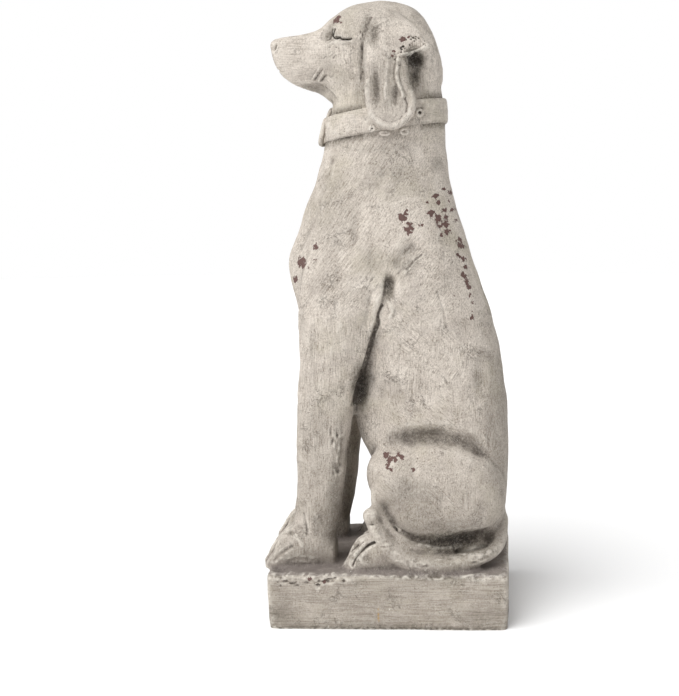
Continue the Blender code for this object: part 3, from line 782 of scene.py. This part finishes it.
# %% Broken edge of the plinth, pits of the tail and forelegs
side_x, end_y, underside = PLINTH_WIDTH / MM / 2, PLINTH_LENGTH / MM / 2, -PLINTH_TOP / MM
rng = np.random.default_rng(21)
for _ in range(46):
    y, h = rng.uniform(-114, -44), rng.uniform(-12, 1)
    skin.press((side_x, y, h),
        (9, rng.uniform(1.6, 7), rng.uniform(1.1, 2.6)), rng.choice([-1.4, -0.9, 1.2]))
for _ in range(40):
    turn, h = rng.uniform(0, 2 * np.pi), -1.0
    x, y = side_x * np.sign(np.cos(turn)), end_y * np.sin(turn)
    skin.press((x, y, h), (8, rng.uniform(4, 12), 4), -0.9)
skin.store()
skin.p[:, 2] = np.maximum(skin.p[:, 2], underside)
skin.store()
rng = np.random.default_rng(22)
for x, y, h, radius in rng.choice(smooth_rows(TAIL, 300)[80:], 40):
    turn = rng.uniform(-0.5, 1.3)
    at = (x + radius * np.cos(turn), y, h + radius * np.sin(turn))
    skin.press(at, (4, rng.uniform(2, 8), rng.uniform(1.4, 2.6)), rng.choice([-0.7, -0.5, 0.5]))
for side in both:
    for _ in range(12):
        y, h = -57 + 4.0 * rng.normal(), rng.uniform(96, 152)
        skin.press((side * 66, y, h),
            (16, rng.uniform(1.6, 3.0), rng.uniform(4, 9)), rng.choice([-0.9, 0.9]))
skin.store()
print(int((skin.p[:, 2] < underside + 0.01).sum()), "points on the underside")

# %% [markdown]
# ## Where dirt, paint and painted shade go
# The finish follows the form. For every point the script asks how far it lies
# below the mean of its neighbourhood: a crease is a positive number, a ridge a
# negative one. The same over a wider neighbourhood is the shade of a hollow,
# which the material paints into the colour. Other numbers mark where the wash
# has chipped off, where stains, painted shade and soil lie, and which way the
# brush went. The material reads them as attributes of the mesh.

# %% Attributes
MARKS = ("crease", "shade", "chipped", "stain_and_shade", "soil", "slant", "crossed", "level")
# y, height, radius in drawn millimetres of each chipped place on the dog's left side
CHIPS = [
    (12.9, 377, 6.5), (18.3, 383, 2.6), (20.5, 364, 6.5), (33.5, 367.7, 2.4), (33.5, 384.6, 2),
    (40, 393, 2.4),
    (47.7, 399.8, 4), (51, 392, 3.4), (57.4, 384.6, 3.4), (59, 378, 3), (43.3, 380.8, 4.6),
    (51, 375.3, 5.4),
    (58.5, 369.4, 5.4), (61.8, 360.7, 3.6), (52, 366, 2.6), (55.3, 357.4, 2.6), (62, 394, 2.4),
    (73.7, 352, 4), (72.7, 334.6, 3), (80, 321, 2.6), (82, 306, 3), (86, 291, 3), (90, 282, 2.8),
    (90, 274, 2.6), (69, 291, 2),
    (-99, 327, 7.5), (-109, 307, 5), (-82, 344, 4), (-81, 331, 3), (-89, 321.5, 2),
    (62, 404, 3), (56, 408, 2.6), (66, 384, 3.4), (69, 372, 3.2), (76, 344, 4.2), (78, 330, 3.6),
    (79, 312, 3.8), (84, 300, 3.4), (88, 266, 2.6), (37, 304, 1.8),
    (-4, 120.5, 3.4), (1, 118, 3.8), (7, 117.5, 3.2), (10, 122, 3.0), (15, 119.6, 3.0),
    (-1, 110.5, 3.2), (4, 109, 2.8), (27, 108, 3), (30, 118, 2.4),
    (-62.9, 595.5, 4.6), (-60, 599, 3), (-56.8, 591.8, 1.7), (13.4, 569.7, 3.4), (20, 572, 1.9),
    (5, 556, 2.4), (3, 551, 1.8), (-22, 596, 1.2),
    (-80, -5, 2.6), (-66, -7, 2.6),
]
COLLAR_MIDDLE, COLLAR_CENTRE_Y, COLLAR_SLOPE = 485.0, -12.0, 0.175
COLLAR_HEIGHT, COLLAR_PROUD = 28.0, 4.5
EAR_REACH, EAR_TIP = 32, 468
# y, height, half length, half height and strength of each broad stain; the patches under
# the thigh and the tail, in the fold behind the foreleg, behind the ear and along the
# plinth's bottom edge are painted shade and shadow mixed with dirt
STAINS_AND_SHADE = [
    (66, 28, 42, 15, 1.9), (96, 26, 30, 16, 0.8), (40, 31, 26, 8, 1.3), (28, 84, 28, 18, 0.6),
    (60, 46, 40, 14, 0.5), (-66, 45, 15, 45, 0.35), (-74, 322, 42, 50, 0.14), (-33, 192, 11, 32, 1.6),
    (-1, 300, 9, 16, 1.3), (-20, 330, 16, 18, 0.35),
    (25, 549, 12, 17, 2.0), (25, 530, 9, 22, 1.2), (32, 512, 9, 26, 0.4), (-15, 517, 7, 26, 0.65),
    (9, 507, 6, 16, 0.6), (-18, 577, 8, 19, 0.9), (-27, 584, 9, 26, 0.8), (-31, 540, 7, 48, 0.75),
    (-36, 518, 9, 20, 0.5),
    (-70, 577, 10, 11, 0.75), (-65, 580, 3.2, 9, 1.8), (-60, 574.5, 8, 2.6, 1.6),
    (-49, 573, 8, 2.2, 1.3), (-67, 588, 7, 9, 0.6), (-47, 570, 16, 5, 0.4), (-74, 552, 14, 14, 0.25),
    (-84, 533, 14, 9, 0.25), (-97, 521, 30, 7, 0.6), (-52, 528, 12, 16, 0.3), (-4, 506, 18, 24, 0.45),
    (24, 600, 8, 12, 0.4), (-4, 606, 9, 8, 0.35),
    (30, 142, 42, 9, 0.6), (75, 136, 26, 9, 0.5), (-82, 240, 7, 28, 0.35), (-94, 262, 6, 20, 0.3),
    (5, 425, 14, 24, 0.45), (-42, 365, 13, 16, 0.35), (19, 330, 15, 20, 0.45), (-78, 400, 8, 46, 0.35),
    (49, 436, 8, 12, 0.5), (-20, 452, 50, 9, 0.35),
    (97, 205, 9, 36, 0.45), (118, 170, 20, 110, 0.5), (10, 80, 18, 22, 0.3), (35, 62, 22, 18, 0.4),
    (-60, 60, 9, 70, 0.6), (-56, 130, 8, 40, 0.3), (-90, 14, 40, 12, 0.35), (-54, 126, 7, 32, 0.5),
    (-117, 0, 12, 4, 1.1), (-106, 36, 5, 3, 1.1), (-33, 18, 12, 10, 0.5), (60, 8, 80, 5, 0.4),
    (104, -46, 36, 14, 0.45), (-112, -42, 16, 18, 0.5), (-20, -54, 70, 6, 0.4), (0, -60, 260, 6, 1.4),
    (46, 0, 66, 7, 1.2), (-6, 2, 26, 5, 0.9),
    (-66, 380, 40, 60, 0.36), (-10, 420, 50, 40, 0.24), (0, 520, 30, 46, 0.4), (-20, 606, 70, 26, 0.25),
    (112, 240, 26, 150, 0.25), (50, 14, 76, 20, 0.3), (-84, 140, 26, 110, 0.22),
    (-118, -45, 14, 20, 0.6), (118, -50, 26, 14, 0.4), (-84, 2, 40, 4, 0.8),
]


def stain_and_shade(skin):
    """The strongest of all stains and patches of painted shade: each is its strength times one
    minus the squared reach; the neck gets dirt and a painted shadow along both edges of the collar."""
    value = np.zeros(len(skin.p))
    for y, h, length, height, strength in STAINS_AND_SHADE:
        reach = ((skin.p[:, 1] - y) / length) ** 2 + ((skin.p[:, 2] - h) / height) ** 2
        value = np.maximum(value, strength * np.clip(1 - reach, 0, 1))
    middle = COLLAR_MIDDLE + COLLAR_SLOPE * (skin.p[:, 1] - COLLAR_CENTRE_Y)
    beside = np.abs(skin.p[:, 2] - middle) - COLLAR_HEIGHT / 2
    clear_of_ears = (np.abs(skin.p[:, 1]) > EAR_REACH) | (skin.p[:, 2] < EAR_TIP)
    return np.maximum(value, 1.1 * clear_of_ears * ramp(beside, 9, 0))


def hollows(skin, passes):
    """Distance along the normal from each point to itself after many passes of neighbour means."""
    soft = skin.p.copy()
    for _ in range(passes):
        soft += 0.7 * (skin.mean(soft) - soft)
    return ((soft - skin.p) * skin.normal).sum(axis=1)


def chipped(skin):
    """For each place, one minus the squared distance over its radius, held
    above minus one; the largest counts."""
    value = np.full(len(skin.p), -1.0)
    for y, h, radius in CHIPS:
        reach = ((skin.p[:, 1] - y) ** 2 + (skin.p[:, 2] - h) ** 2) / radius**2
        value = np.maximum(value, np.where(skin.p[:, 0] > 0, 1 - reach, -1))
    return value


def ramp(values, low, high):
    """Straight from 0 at low to 1 at high, held at both ends."""
    return np.clip((values - low) / (high - low), 0, 1)


def remember(skin, name, values):
    """Keep one number per point as an attribute of the mesh."""
    layer = skin.mesh.attributes.new(name, "FLOAT", "POINT")
    layer.data.foreach_set("value", values.astype(np.float32))


for obj in (body, face):
    skin = Skin(obj)
    y, h = skin.p[:, 1], skin.p[:, 2]
    fine, broad = hollows(skin, 6), hollows(skin, 70)
    soil = ramp(h, -2.4, -1.2) * ramp(h, 7, 2) * ramp(skin.normal[:, 2], 0.1, 0.6)
    remember(skin, "crease", fine)
    remember(skin, "shade", broad)
    remember(skin, "chipped", chipped(skin))
    remember(skin, "stain_and_shade", stain_and_shade(skin))
    remember(skin, "slant", ramp(h, 235, 320) * ramp(h, 500, 470))
    remember(skin, "crossed", ramp(h, 20, 60) * ramp(h, 330, 250) * ramp(y, -30, 10))
    remember(skin, "level", np.maximum(ramp(h, 1, -3), 0.8 * ramp(h, 500, 525) * ramp(y, -58, -104)))
    remember(skin, "soil", np.maximum(soil, 0.55 * ramp(h, 12, 3) * (h > 0)))
    print(obj.name, "creases to", np.percentile(fine, 99.5).round(2), "mm")

# %% [markdown]
# ## Settle and thin
# The drawing was made a little too broad and tall near the crown, so the whole
# figure is pulled back by a smooth share of its height. The mesh is then
# thinned where it is flat, and keeps its points where the carving is.

# %% Settle
WAIST_RISE, CROWN_DROP, CROWN_NARROW, CROWN_BACK = 30.0, 15.6, 0.048, 4.8


def settle(obj):
    """y gains its share of the height times the move back less the narrowing;
    height gains a parabola less the drop."""
    mesh = obj.data
    flat = np.empty(len(mesh.vertices) * 3, np.float32)
    mesh.vertices.foreach_get("co", flat)
    p = (flat.reshape(-1, 3).astype(float) - (0, 0, PLINTH_TOP)) / MM
    t = np.clip(p[:, 2] / CROWN, 0, 1)
    p[:, 1] += t * (CROWN_BACK - CROWN_NARROW * p[:, 1])
    p[:, 2] += WAIST_RISE * t * (1 - t) - CROWN_DROP * t
    mesh.vertices.foreach_set("co", (p * MM + (0, 0, PLINTH_TOP)).astype(np.float32).ravel())
    mesh.update()


def thin(obj, triangles):
    """Collapse edges until that many triangles are left."""
    obj.data.calc_loop_triangles()
    share = triangles / len(obj.data.loop_triangles)
    if share < 1:
        fewer = obj.modifiers.new("thin", "DECIMATE")
        fewer.ratio = share
        finish_modifiers(obj)


for obj, most in ((body, 196000), (face, 150000)):
    settle(obj)
    thin(obj, most)
    obj.data.calc_loop_triangles()
    print(obj.name, len(obj.data.loop_triangles), "triangles")

# %% [markdown]
# ## Collar and buckle
# The strap is a rounded oblong carried round the neck's own outline, tilted up
# towards the nape. It is one piece with the neck in the cast, but a separate
# hoop here, which gives it crisp edges. The buckle is a bent wire with a
# tongue, and small rings and burrs sit where bubbles in the mould left them.

# %% Collar
def strap():
    """Section: a superellipse of squareness 5. Path: the neck's outline at a
    height that climbs with y."""
    angle = np.linspace(0, 2 * np.pi, 360, endpoint=False)
    x, y = trunk_outline(np.full_like(angle, COLLAR_MIDDLE), angle)
    rise = COLLAR_MIDDLE + COLLAR_SLOPE * (y - COLLAR_CENTRE_Y)
    x, y = trunk_outline(rise, angle)
    across = np.stack((np.gradient(y), -np.gradient(x)), axis=-1)
    across /= np.linalg.norm(across, axis=1, keepdims=True)
    c, s = rounded(np.linspace(0, 2 * np.pi, 56, endpoint=False), 5.0)
    out = COLLAR_PROUD * (c - 0.1)
    p = np.empty((len(angle), len(c), 3))
    p[..., 0] = x[:, None] + across[:, :1] * out
    p[..., 1] = y[:, None] + across[:, 1:] * out
    p[..., 2] = rise[:, None] + COLLAR_HEIGHT / 2 * s
    push = np.stack((across[:, 0], across[:, 1], 0 * x), axis=-1)[:, None] * np.clip(c, 0, 1)[:, None]
    flat = p.reshape(-1, 3)
    dents = 1.3 * (value_noise(flat, 11, 31) - 0.5) + 0.6 * (value_noise(flat, 4, 32) - 0.5)
    p += push * dents.reshape(len(angle), len(c), 1)
    p[..., 2] += 1.0 * (value_noise(flat, 17, 33) - 0.5).reshape(len(angle), len(c))
    return hoop(place(p[..., 0], p[..., 1], p[..., 2]))


collar = together("collar_strap", [strap()])
print("strap", COLLAR_HEIGHT, "mm wide")

# %% Buckle and rings
BUCKLE_WIDTH, BUCKLE_HEIGHT, BUCKLE_WIRE = 30.0, 28.0, 2.6
BUCKLE_MIDDLE, BUCKLE_LEAN = 473.0, 0.22


def wire_ring(centre, axis_u, axis_v, wire, squareness=2.0, count=64):
    """A circle of radius wire carried round a superellipse that two vectors span."""
    centre, u, v = (np.asarray(a, float) for a in (centre, axis_u, axis_v))
    c, s = rounded(np.linspace(0, 2 * np.pi, count, endpoint=False), squareness)
    path = centre + c[:, None] * u + s[:, None] * v
    along = np.roll(path, -1, axis=0) - np.roll(path, 1, axis=0)
    along /= np.linalg.norm(along, axis=1, keepdims=True)
    flat = np.cross(u, v)
    flat /= np.linalg.norm(flat)
    side = np.cross(along, flat)
    ring = np.linspace(0, 2 * np.pi, 16, endpoint=False)[None, :, None]
    p = path[:, None] + wire * (np.cos(ring) * side[:, None] + np.sin(ring) * flat)
    return hoop(place(p[..., 0], p[..., 1], p[..., 2]))


throat = trunk_outline(np.array([BUCKLE_MIDDLE]), np.array([-np.pi / 2]))[1][0] - COLLAR_PROUD
half_w, half_h = BUCKLE_WIDTH / 2, BUCKLE_HEIGHT / 2
lean = BUCKLE_LEAN * half_h
buckle = together("collar_buckle", [
    wire_ring((0, throat, BUCKLE_MIDDLE), (half_w, 0, 0), (0, lean, half_h), BUCKLE_WIRE, 4.0),
    rope([(0, throat - 1 - lean, BUCKLE_MIDDLE - half_h, BUCKLE_WIRE),
          (0, throat - 2, BUCKLE_MIDDLE, BUCKLE_WIRE),
          (1, throat + lean, BUCKLE_MIDDLE + half_h + 1, BUCKLE_WIRE)], LEFT, 24),
    wire_ring((0, throat + 6, 492), (9, 0, 0), (0, 2.5, 7), 2.2)])
# y, height, half length, half height, wire of each little ring on the strap's left face
BURRS = [
    (31, 491, 3.6, 3.4, 1.5), (15, 470, 3.6, 2.8, 1.6),
    (-6, 468, 4.4, 1.6, 1.7), (-20, 473, 2.6, 2.4, 1.7),
]
BURR_PROUD = 0.9


def burr(y, h, across, tall, wire):
    """Ring in the plane of the strap's face: x and the tangent come from the
    neck's outline at that height."""
    turn = np.linspace(-np.pi / 2, np.pi / 2, 181)
    x_at, y_at = trunk_outline(np.full_like(turn, h), turn)
    before, x, after = np.interp((y - 2, y, y + 2), y_at, x_at)
    along = np.array([after - before, 4.0, 0.0]) / np.hypot(after - before, 4.0)
    return wire_ring((x + COLLAR_PROUD + BURR_PROUD, y, h), along * across, (0, 0, tall), wire, 2.0, 32)


burrs = together("collar_burrs", [burr(*row) for row in BURRS])
print("buckle", BUCKLE_WIDTH, "by", BUCKLE_HEIGHT, "mm")

# %% Attributes of the collar
for obj in (collar, buckle, burrs):
    skin = Skin(obj)
    # burrs count as ridges all over, so they turn pale: rubbed wear and a painted highlight
    remember(skin, "crease", hollows(skin, 6) if obj is not burrs else np.full(len(skin.p), -0.3))
    remember(skin, "shade", hollows(skin, 20) * (obj is not burrs))
    remember(skin, "chipped", np.full(len(skin.p), -1.0))
    for name in ("slant", "crossed", "level", "soil"):
        remember(skin, name, np.full(len(skin.p), 0.5 * (name == "level")))
    x, y, h = skin.p.T
    low = COLLAR_MIDDLE + COLLAR_SLOPE * (y - COLLAR_CENTRE_Y) - h
    # painted shade and dirt along the strap's lower and upper edges and towards the nape, and painted shade
    # inside each burr ring
    strap_shade_and_dirt = 0.5 * ramp(low, 11, 14.5) + 0.15 * ramp(y, 12, 45) + 0.3 * ramp(low, -12, -14.5)
    if obj is collar:
        for middle_y, middle_h, *_ in BURRS:
            inside = ramp(np.hypot(y - middle_y, h - middle_h), 3.8, 2.0)
            strap_shade_and_dirt = np.maximum(strap_shade_and_dirt, 2.0 * (x > 0) * inside)
    remember(skin, "stain_and_shade", strap_shade_and_dirt * (obj is not burrs))
    settle(obj)
    print(obj.name, len(skin.p), "points")

# %% [markdown]
# ## Washed cast stone
# The cast is cement and stone powder, matt and fine-grained. The wash over it
# was brushed on: vertical strokes on the legs and ears, slanting ones on the
# chest and shoulder, crossed ones on the flank and thigh, level ones on the
# plinth and muzzle. Four streaky noises stand for them, each stretched by real
# millimetres. Dirt and painted shade fill the creases and hollows, stains mixed
# with painted shade lie under the thigh, the tail and the ears, hairline cracks
# cross the wash, ridges are rubbed pale with a painted highlight, and the
# maroon undercoat shows where the wash chipped off.

# %% Nodes and colours
from functools import partial


def hex_colour(code):
    """sRGB hex to linear: below 0.04045 divided by 12.92, above it the 2.4 power curve."""
    c = np.array([int(code[i:i + 2], 16) for i in (1, 3, 5)]) / 255
    return (*np.where(c <= 0.04045, c / 12.92, ((c + 0.055) / 1.055) ** 2.4).tolist(), 1.0)


def add(tree, kind, *inputs, named=None, gives=None, **settings):
    """Add a node, set its properties, fill its inputs in order or by name with
    sockets to link or plain values, and give the output asked for, or the first."""
    made = tree.nodes.new("ShaderNode" + kind)
    for name, value in settings.items():
        setattr(made, name, value)
    filled = list(zip([s for s in made.inputs if s.enabled], inputs))
    for slot, value in filled + [(made.inputs[name], value) for name, value in (named or {}).items()]:
        if isinstance(value, bpy.types.NodeSocket):
            tree.links.new(value, slot)
        else:
            slot.default_value = value
    return made.outputs[gives] if gives else next((s for s in made.outputs if s.enabled), None)


print("mid tone", [round(c, 3) for c in hex_colour("#b3aa9e")])

# %% Sizes of the patterns
# length across and along in millimetres, turn about x in degrees
STROKES = {
    "upright": ((0.9, 0.9, 26), 0), "slanting": ((1.0, 1.0, 20), -34),
    "counter": ((1.0, 1.0, 18), 48), "level": ((26, 26, 0.9), 0),
}
# size in millimetres, detail, roughness, shift; real stone powder is finer than
# the grain and the fine relief, which are drawn coarse enough to show
PATTERNS = {
    "patchy": (38, 2, 0.5, 4), "patches": (55, 4, 0.6, 3), "cloud": (24, 7, 0.78, 7),
    "smudges": (34, 3, 0.55, 11), "streaks": ((46, 46, 1.5), 4, 0.65, 12), "grain": (1.6, 2, 0.6, 15),
    "ragged": (3, 5, 0.78, 0), "worn": (5, 3, 0.55, 0), "hair patches": (12, 2, 0.55, 8),
    "cracks": (16, 5, 0.7, 13), "crack patches": (26, 3, 0.55, 14), "grit": (1.4, 2, 0.5, 2),
    "pore patches": (22, 2, 0.55, 5), "specks": (1.8, 1, 0.5, 9), "chip edge": (4.2, 3, 0.6, 1),
    "undercoat": (2, 2, 0.55, 0), "rust": (3, 2, 0.55, 0), "fine": (1.6, 3, 0.65, 0),
    "coarse": (6, 7, 0.8, 6),
}
WAVER, WAVER_REACH = 12.0, 0.014
RUST_Y, RUST_FOOT, RUST_TOP = -0.0089, 0.0075, 0.026
BUMP = 0.0020
print(len(STROKES) + len(PATTERNS), "patterns")

# %% Cast stone
def cast_stone():
    """Layers of colour over one another, each by a pattern's value between two levels."""
    material = bpy.data.materials.new("washed_cast_stone")
    material.use_nodes = True
    material.node_tree.nodes.clear()
    put = partial(add, material.node_tree)
    where = put("TexCoord", gives="Object")
    x, y, z = (put("SeparateXYZ", where, gives=axis) for axis in "XYZ")
    mark = {name: put("Attribute", attribute_name=name, gives="Fac") for name in MARKS}
    waver = put("TexNoise", where, WAVER, 1.0, gives="Color")
    wavered = put("VectorMath", waver, (WAVER_REACH,) * 3, where, operation="MULTIPLY_ADD")
    noise = {}
    rows = {name: (size, 4, 0.65, 0, turn, wavered) for name, (size, turn) in STROKES.items()}
    rows.update({name: (*row, 0, where) for name, row in PATTERNS.items()})
    for name, (size, detail, rough, shift, turn, vector) in rows.items():
        scale, rotation = (np.ones(3) * size * MM).tolist(), (np.radians(turn), 0, 0)
        at = put("Mapping", vector, (shift,) * 3, rotation, scale, vector_type="TEXTURE")
        noise[name] = put("TexNoise", at, 1.0, detail, rough)

    # which way the brush went at each point
    lean = put("Math", noise["patchy"], 0.7, mark["slant"], operation="MULTIPLY_ADD")
    parts = (put("MapRange", noise["patchy"], low, high) for low, high in ((0.56, 0.60), (0.46, 0.42)))
    back, forth = (put("Math", mark["crossed"], part, operation="MULTIPLY") for part in parts)
    back = put("Math", put("MapRange", lean, 0.6, 0.9), back, operation="MAXIMUM")
    strokes = noise["upright"]
    for factor, name in ((back, "slanting"), (forth, "counter"), (mark["level"], "level")):
        strokes = put("Mix", factor, strokes, noise[name])
    tone = 0.0
    for value, weight in ((strokes, 0.5), (noise["cloud"], 0.3), (noise["grain"], 0.32)):
        tone = put("Math", value, weight, tone, operation="MULTIPLY_ADD")

    # hairs and cracks follow the line where a noise is one half; the chips' edge is ragged
    hair, crack = (put("Math", put("Math", value, 0.5, operation="SUBTRACT"), operation="ABSOLUTE")
                   for value in (strokes, noise["cracks"]))
    edge = put("Math", noise["chip edge"], 0.5, operation="SUBTRACT")
    edge = put("Math", edge, 4.2, mark["chipped"], operation="MULTIPLY_ADD")
    ragged = (noise["ragged"], 0.3, 0.7, 0.3, 1.6)
    off_line = put("Math", put("Math", y, RUST_Y, operation="SUBTRACT"), operation="ABSOLUTE")
    left_side = put("Math", x, PLINTH_WIDTH / 2 - 0.005, operation="GREATER_THAN")
    masks = {}
    for name, *factors in (
            ("dark streaks", (mark["level"], 0.8, 1.0), (noise["streaks"], 0.51, 0.62)),
            ("pale streaks", (mark["level"], 0.8, 1.0), (noise["streaks"], 0.47, 0.38)),
            # ridges rubbed pale: worn wash and a painted highlight
            ("rub", (mark["crease"], -0.05, -0.28), (noise["worn"], 0.35, 0.6)),
            ("hairs", (hair, 0.02, 0.0), (noise["hair patches"], 0.5, 0.6)),
            ("cracks", (crack, 0.012, 0.004), (noise["crack patches"], 0.52, 0.62)),
            ("pores", (noise["grit"], 0.63, 0.70), (noise["pore patches"], 0.42, 0.62)),
            ("soil", (mark["soil"], 0, 1), (noise["cloud"], 0.35, 0.6, 0.95, 0.7)),
            ("chip", (edge, 0.26, 0.32)),
            # stains, and painted shade and shadow under the thigh and tail, behind the ear and along the
            # plinth's foot
            ("stain", (mark["stain_and_shade"], 0, 4, 0, 4), ragged),
            # painted shade in the broad hollows
            ("shade", (mark["shade"], 0.15, 1.8), ragged),
            # dirt and painted shade in the creases
            ("dirt", (mark["crease"], 0.05, 0.45), ragged),
            ("rust", (off_line, 0.0014, 0.0003), (z, RUST_FOOT, RUST_FOOT + 0.0025),
             (z, RUST_TOP, RUST_TOP - 0.010), (left_side, 0, 1), (noise["rust"], 0.35, 0.6))):
        masks[name] = put("MapRange", *factors[0])
        for factor in factors[1:]:
            masks[name] = put("Math", masks[name], put("MapRange", *factor), operation="MULTIPLY")

    maroon, umber = hex_colour("#745b57"), hex_colour("#655049")
    undercoat = put("Mix", noise["undercoat"], maroon, umber, data_type="RGBA")
    wash = hex_colour("#91867a")
    for value, low, high, share, colour in (
            # three tones by stroke, patches of olive and of dirt, paler high up as a painted highlight
            # on the head and neck, duller near the ground
            (tone, 0.43, 0.54, 1.0, "#c8beb3"), (tone, 0.54, 0.66, 1.0, "#e6ddd2"),
            (noise["patches"], 0.50, 0.66, 0.34, "#b1a993"),
            (noise["smudges"], 0.54, 0.74, 0.4, "#958a83"),
            (z, 0.44, 0.60, 0.12, "#e0d8cd"), (masks["dark streaks"], 0, 1, 0.5, "#857a6c"),
            (masks["pale streaks"], 0, 1, 0.5, "#d3c9b8"), (z, 0.28, 0.05, 0.46, "#837a6f"),
            # stains mixed with painted shade, painted shade in hollows, dirt and painted shade in the
            # creases, soil on the plinth, ridges rubbed pale with a painted highlight, hairs and cracks
            (masks["stain"], 0, 1, 0.8, "#625b50"), (masks["shade"], 0, 1, 0.7, "#5b534b"),
            (masks["dirt"], 0, 1, 0.8, "#453e38"), (masks["soil"], 0, 1, 1.0, "#807772"),
            (masks["stain"], 0.9, 1.9, 0.85, "#2e2925"), (masks["rub"], 0, 1, 0.75, "#e2dbd0"),
            (masks["hairs"], 0, 1, 0.5, "#ded7cd"), (masks["cracks"], 0, 1, 0.6, "#6b6157"),
            # pores, white specks, chips down to the undercoat, a rust streak on the plinth's left side
            (masks["pores"], 0, 1, 0.75, "#6a6058"), (noise["specks"], 0.765, 0.785, 0.8, "#ece7de"),
            (masks["chip"], 0, 1, 1.0, undercoat), (masks["rust"], 0, 1, 1.0, "#b08d52")):
        colour = hex_colour(colour) if isinstance(colour, str) else colour
        wash = put("Mix", put("MapRange", value, low, high, 0.0, share), wash, colour, data_type="RGBA")

    relief = 0.0
    for value, weight in ((strokes, 0.55), (noise["fine"], 0.6), (noise["coarse"], 1.2),
                          (masks["pores"], -0.3), (masks["chip"], -0.3), (masks["cracks"], -0.3)):
        relief = put("Math", value, weight, relief, operation="MULTIPLY_ADD")
    bump = put("Bump", named={"Height": relief, "Strength": 1.0, "Distance": BUMP})
    stone = put("BsdfPrincipled", named={
        "Base Color": wash, "Roughness": put("MapRange", noise["cloud"], 0.3, 0.7, 0.78, 0.92),
        "Normal": bump, "IOR": 1.5, "Specular IOR Level": 0.25})
    put("OutputMaterial", stone)
    return material


stone = cast_stone()
print(stone.name, "has", len(stone.node_tree.nodes), "nodes")

# %% [markdown]
# ## Dress the statue
# Every piece takes the same stone, rides on the one body, and together they
# stand for the plain solid, which stays for collisions.

# %% Dress
for obj in (body, face, collar, buckle, burrs):
    obj.data.materials.clear()
    obj.data.materials.append(stone)
    obj.data.shade_smooth()
    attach(obj, "root")
    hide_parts("dog_statue")
print("pieces dressed")

# %% [markdown]
# ## Studio
# The statue stands on a plain white floor. A wide soft sun shines from the
# upper left, in front of the dog, and a faint one from behind it. The room is
# white where the camera sees it and dimmer where it lights the statue, so that
# the background stays white and the shadows stay deep.

# %% Floor and lights
from mathutils import Euler, Vector

FLOOR_RADIUS, FLOOR_TOP, FLOOR_UNDERSIDE = 6000, -59.05, -69.0
ROOM_LIGHT = 0.55
# where from, strength, width in degrees
SUNS = {"key": ((0.62, -0.72, 1.0), 3.1, 60), "fill": ((0.9, 0.6, 0.4), 0.3, 60)}
reach = FLOOR_RADIUS * np.array([0.01, 1, 1, 0.01])[:, None]
level = np.repeat([FLOOR_UNDERSIDE, FLOOR_TOP], 2)[:, None]
floor = together("studio_floor", [loft(place(reach * np.cos(AROUND), reach * np.sin(AROUND), level))])
paper = bpy.data.materials.new("white_paper")
paper.use_nodes = True
sheet = paper.node_tree.nodes["Principled BSDF"].inputs
sheet["Base Color"].default_value, sheet["Roughness"].default_value = hex_colour("#f7f7f7"), 0.9
floor.data.materials.append(paper)

world = bpy.data.worlds.new("white_room")
bpy.context.scene.world = world
world.use_nodes = True
room = world.node_tree
seen = add(room, "LightPath", gives="Is Camera Ray")
strength = add(room, "MapRange", seen, 0.0, 1.0, ROOM_LIGHT, 1.0)
room.nodes["Background"].inputs["Color"].default_value = (1, 1, 1, 1)
room.links.new(strength, room.nodes["Background"].inputs["Strength"])
bpy.context.scene.view_settings.view_transform = "Standard"

for name, (source, energy, softness) in SUNS.items():
    light = bpy.data.lights.new(name, "SUN")
    light.energy, light.angle = energy, np.radians(softness)
    lamp = bpy.data.objects.new(name, light)
    lamp.rotation_euler = Vector(source).to_track_quat("Z", "Y").to_euler()
    bpy.context.scene.collection.objects.link(lamp)
print("two lights")

# %% [markdown]
# ## Camera
# The photograph was taken from close by, level with the dog's chest and a
# little behind its shoulder.

# %% Camera
FOCAL_PIXELS, PICTURE_PIXELS, SENSOR = 1082.5, 696, 36
LOOK_DOWN, TURN = 5.45, 91.36

lens = bpy.data.cameras.new("camera")
lens.lens = FOCAL_PIXELS / PICTURE_PIXELS * SENSOR
lens.shift_x, lens.shift_y = -0.2, -0.055
lens.clip_start, lens.clip_end = 0.05, 50
camera = bpy.data.objects.new("camera", lens)
camera.location = (1.1977, 0.123, 0.4446)
camera.rotation_euler = Euler(np.radians((90 - LOOK_DOWN, 0, TURN)).tolist())
bpy.context.scene.collection.objects.link(camera)
bpy.context.scene.camera = camera
print("lens", round(lens.lens, 1), "mm")
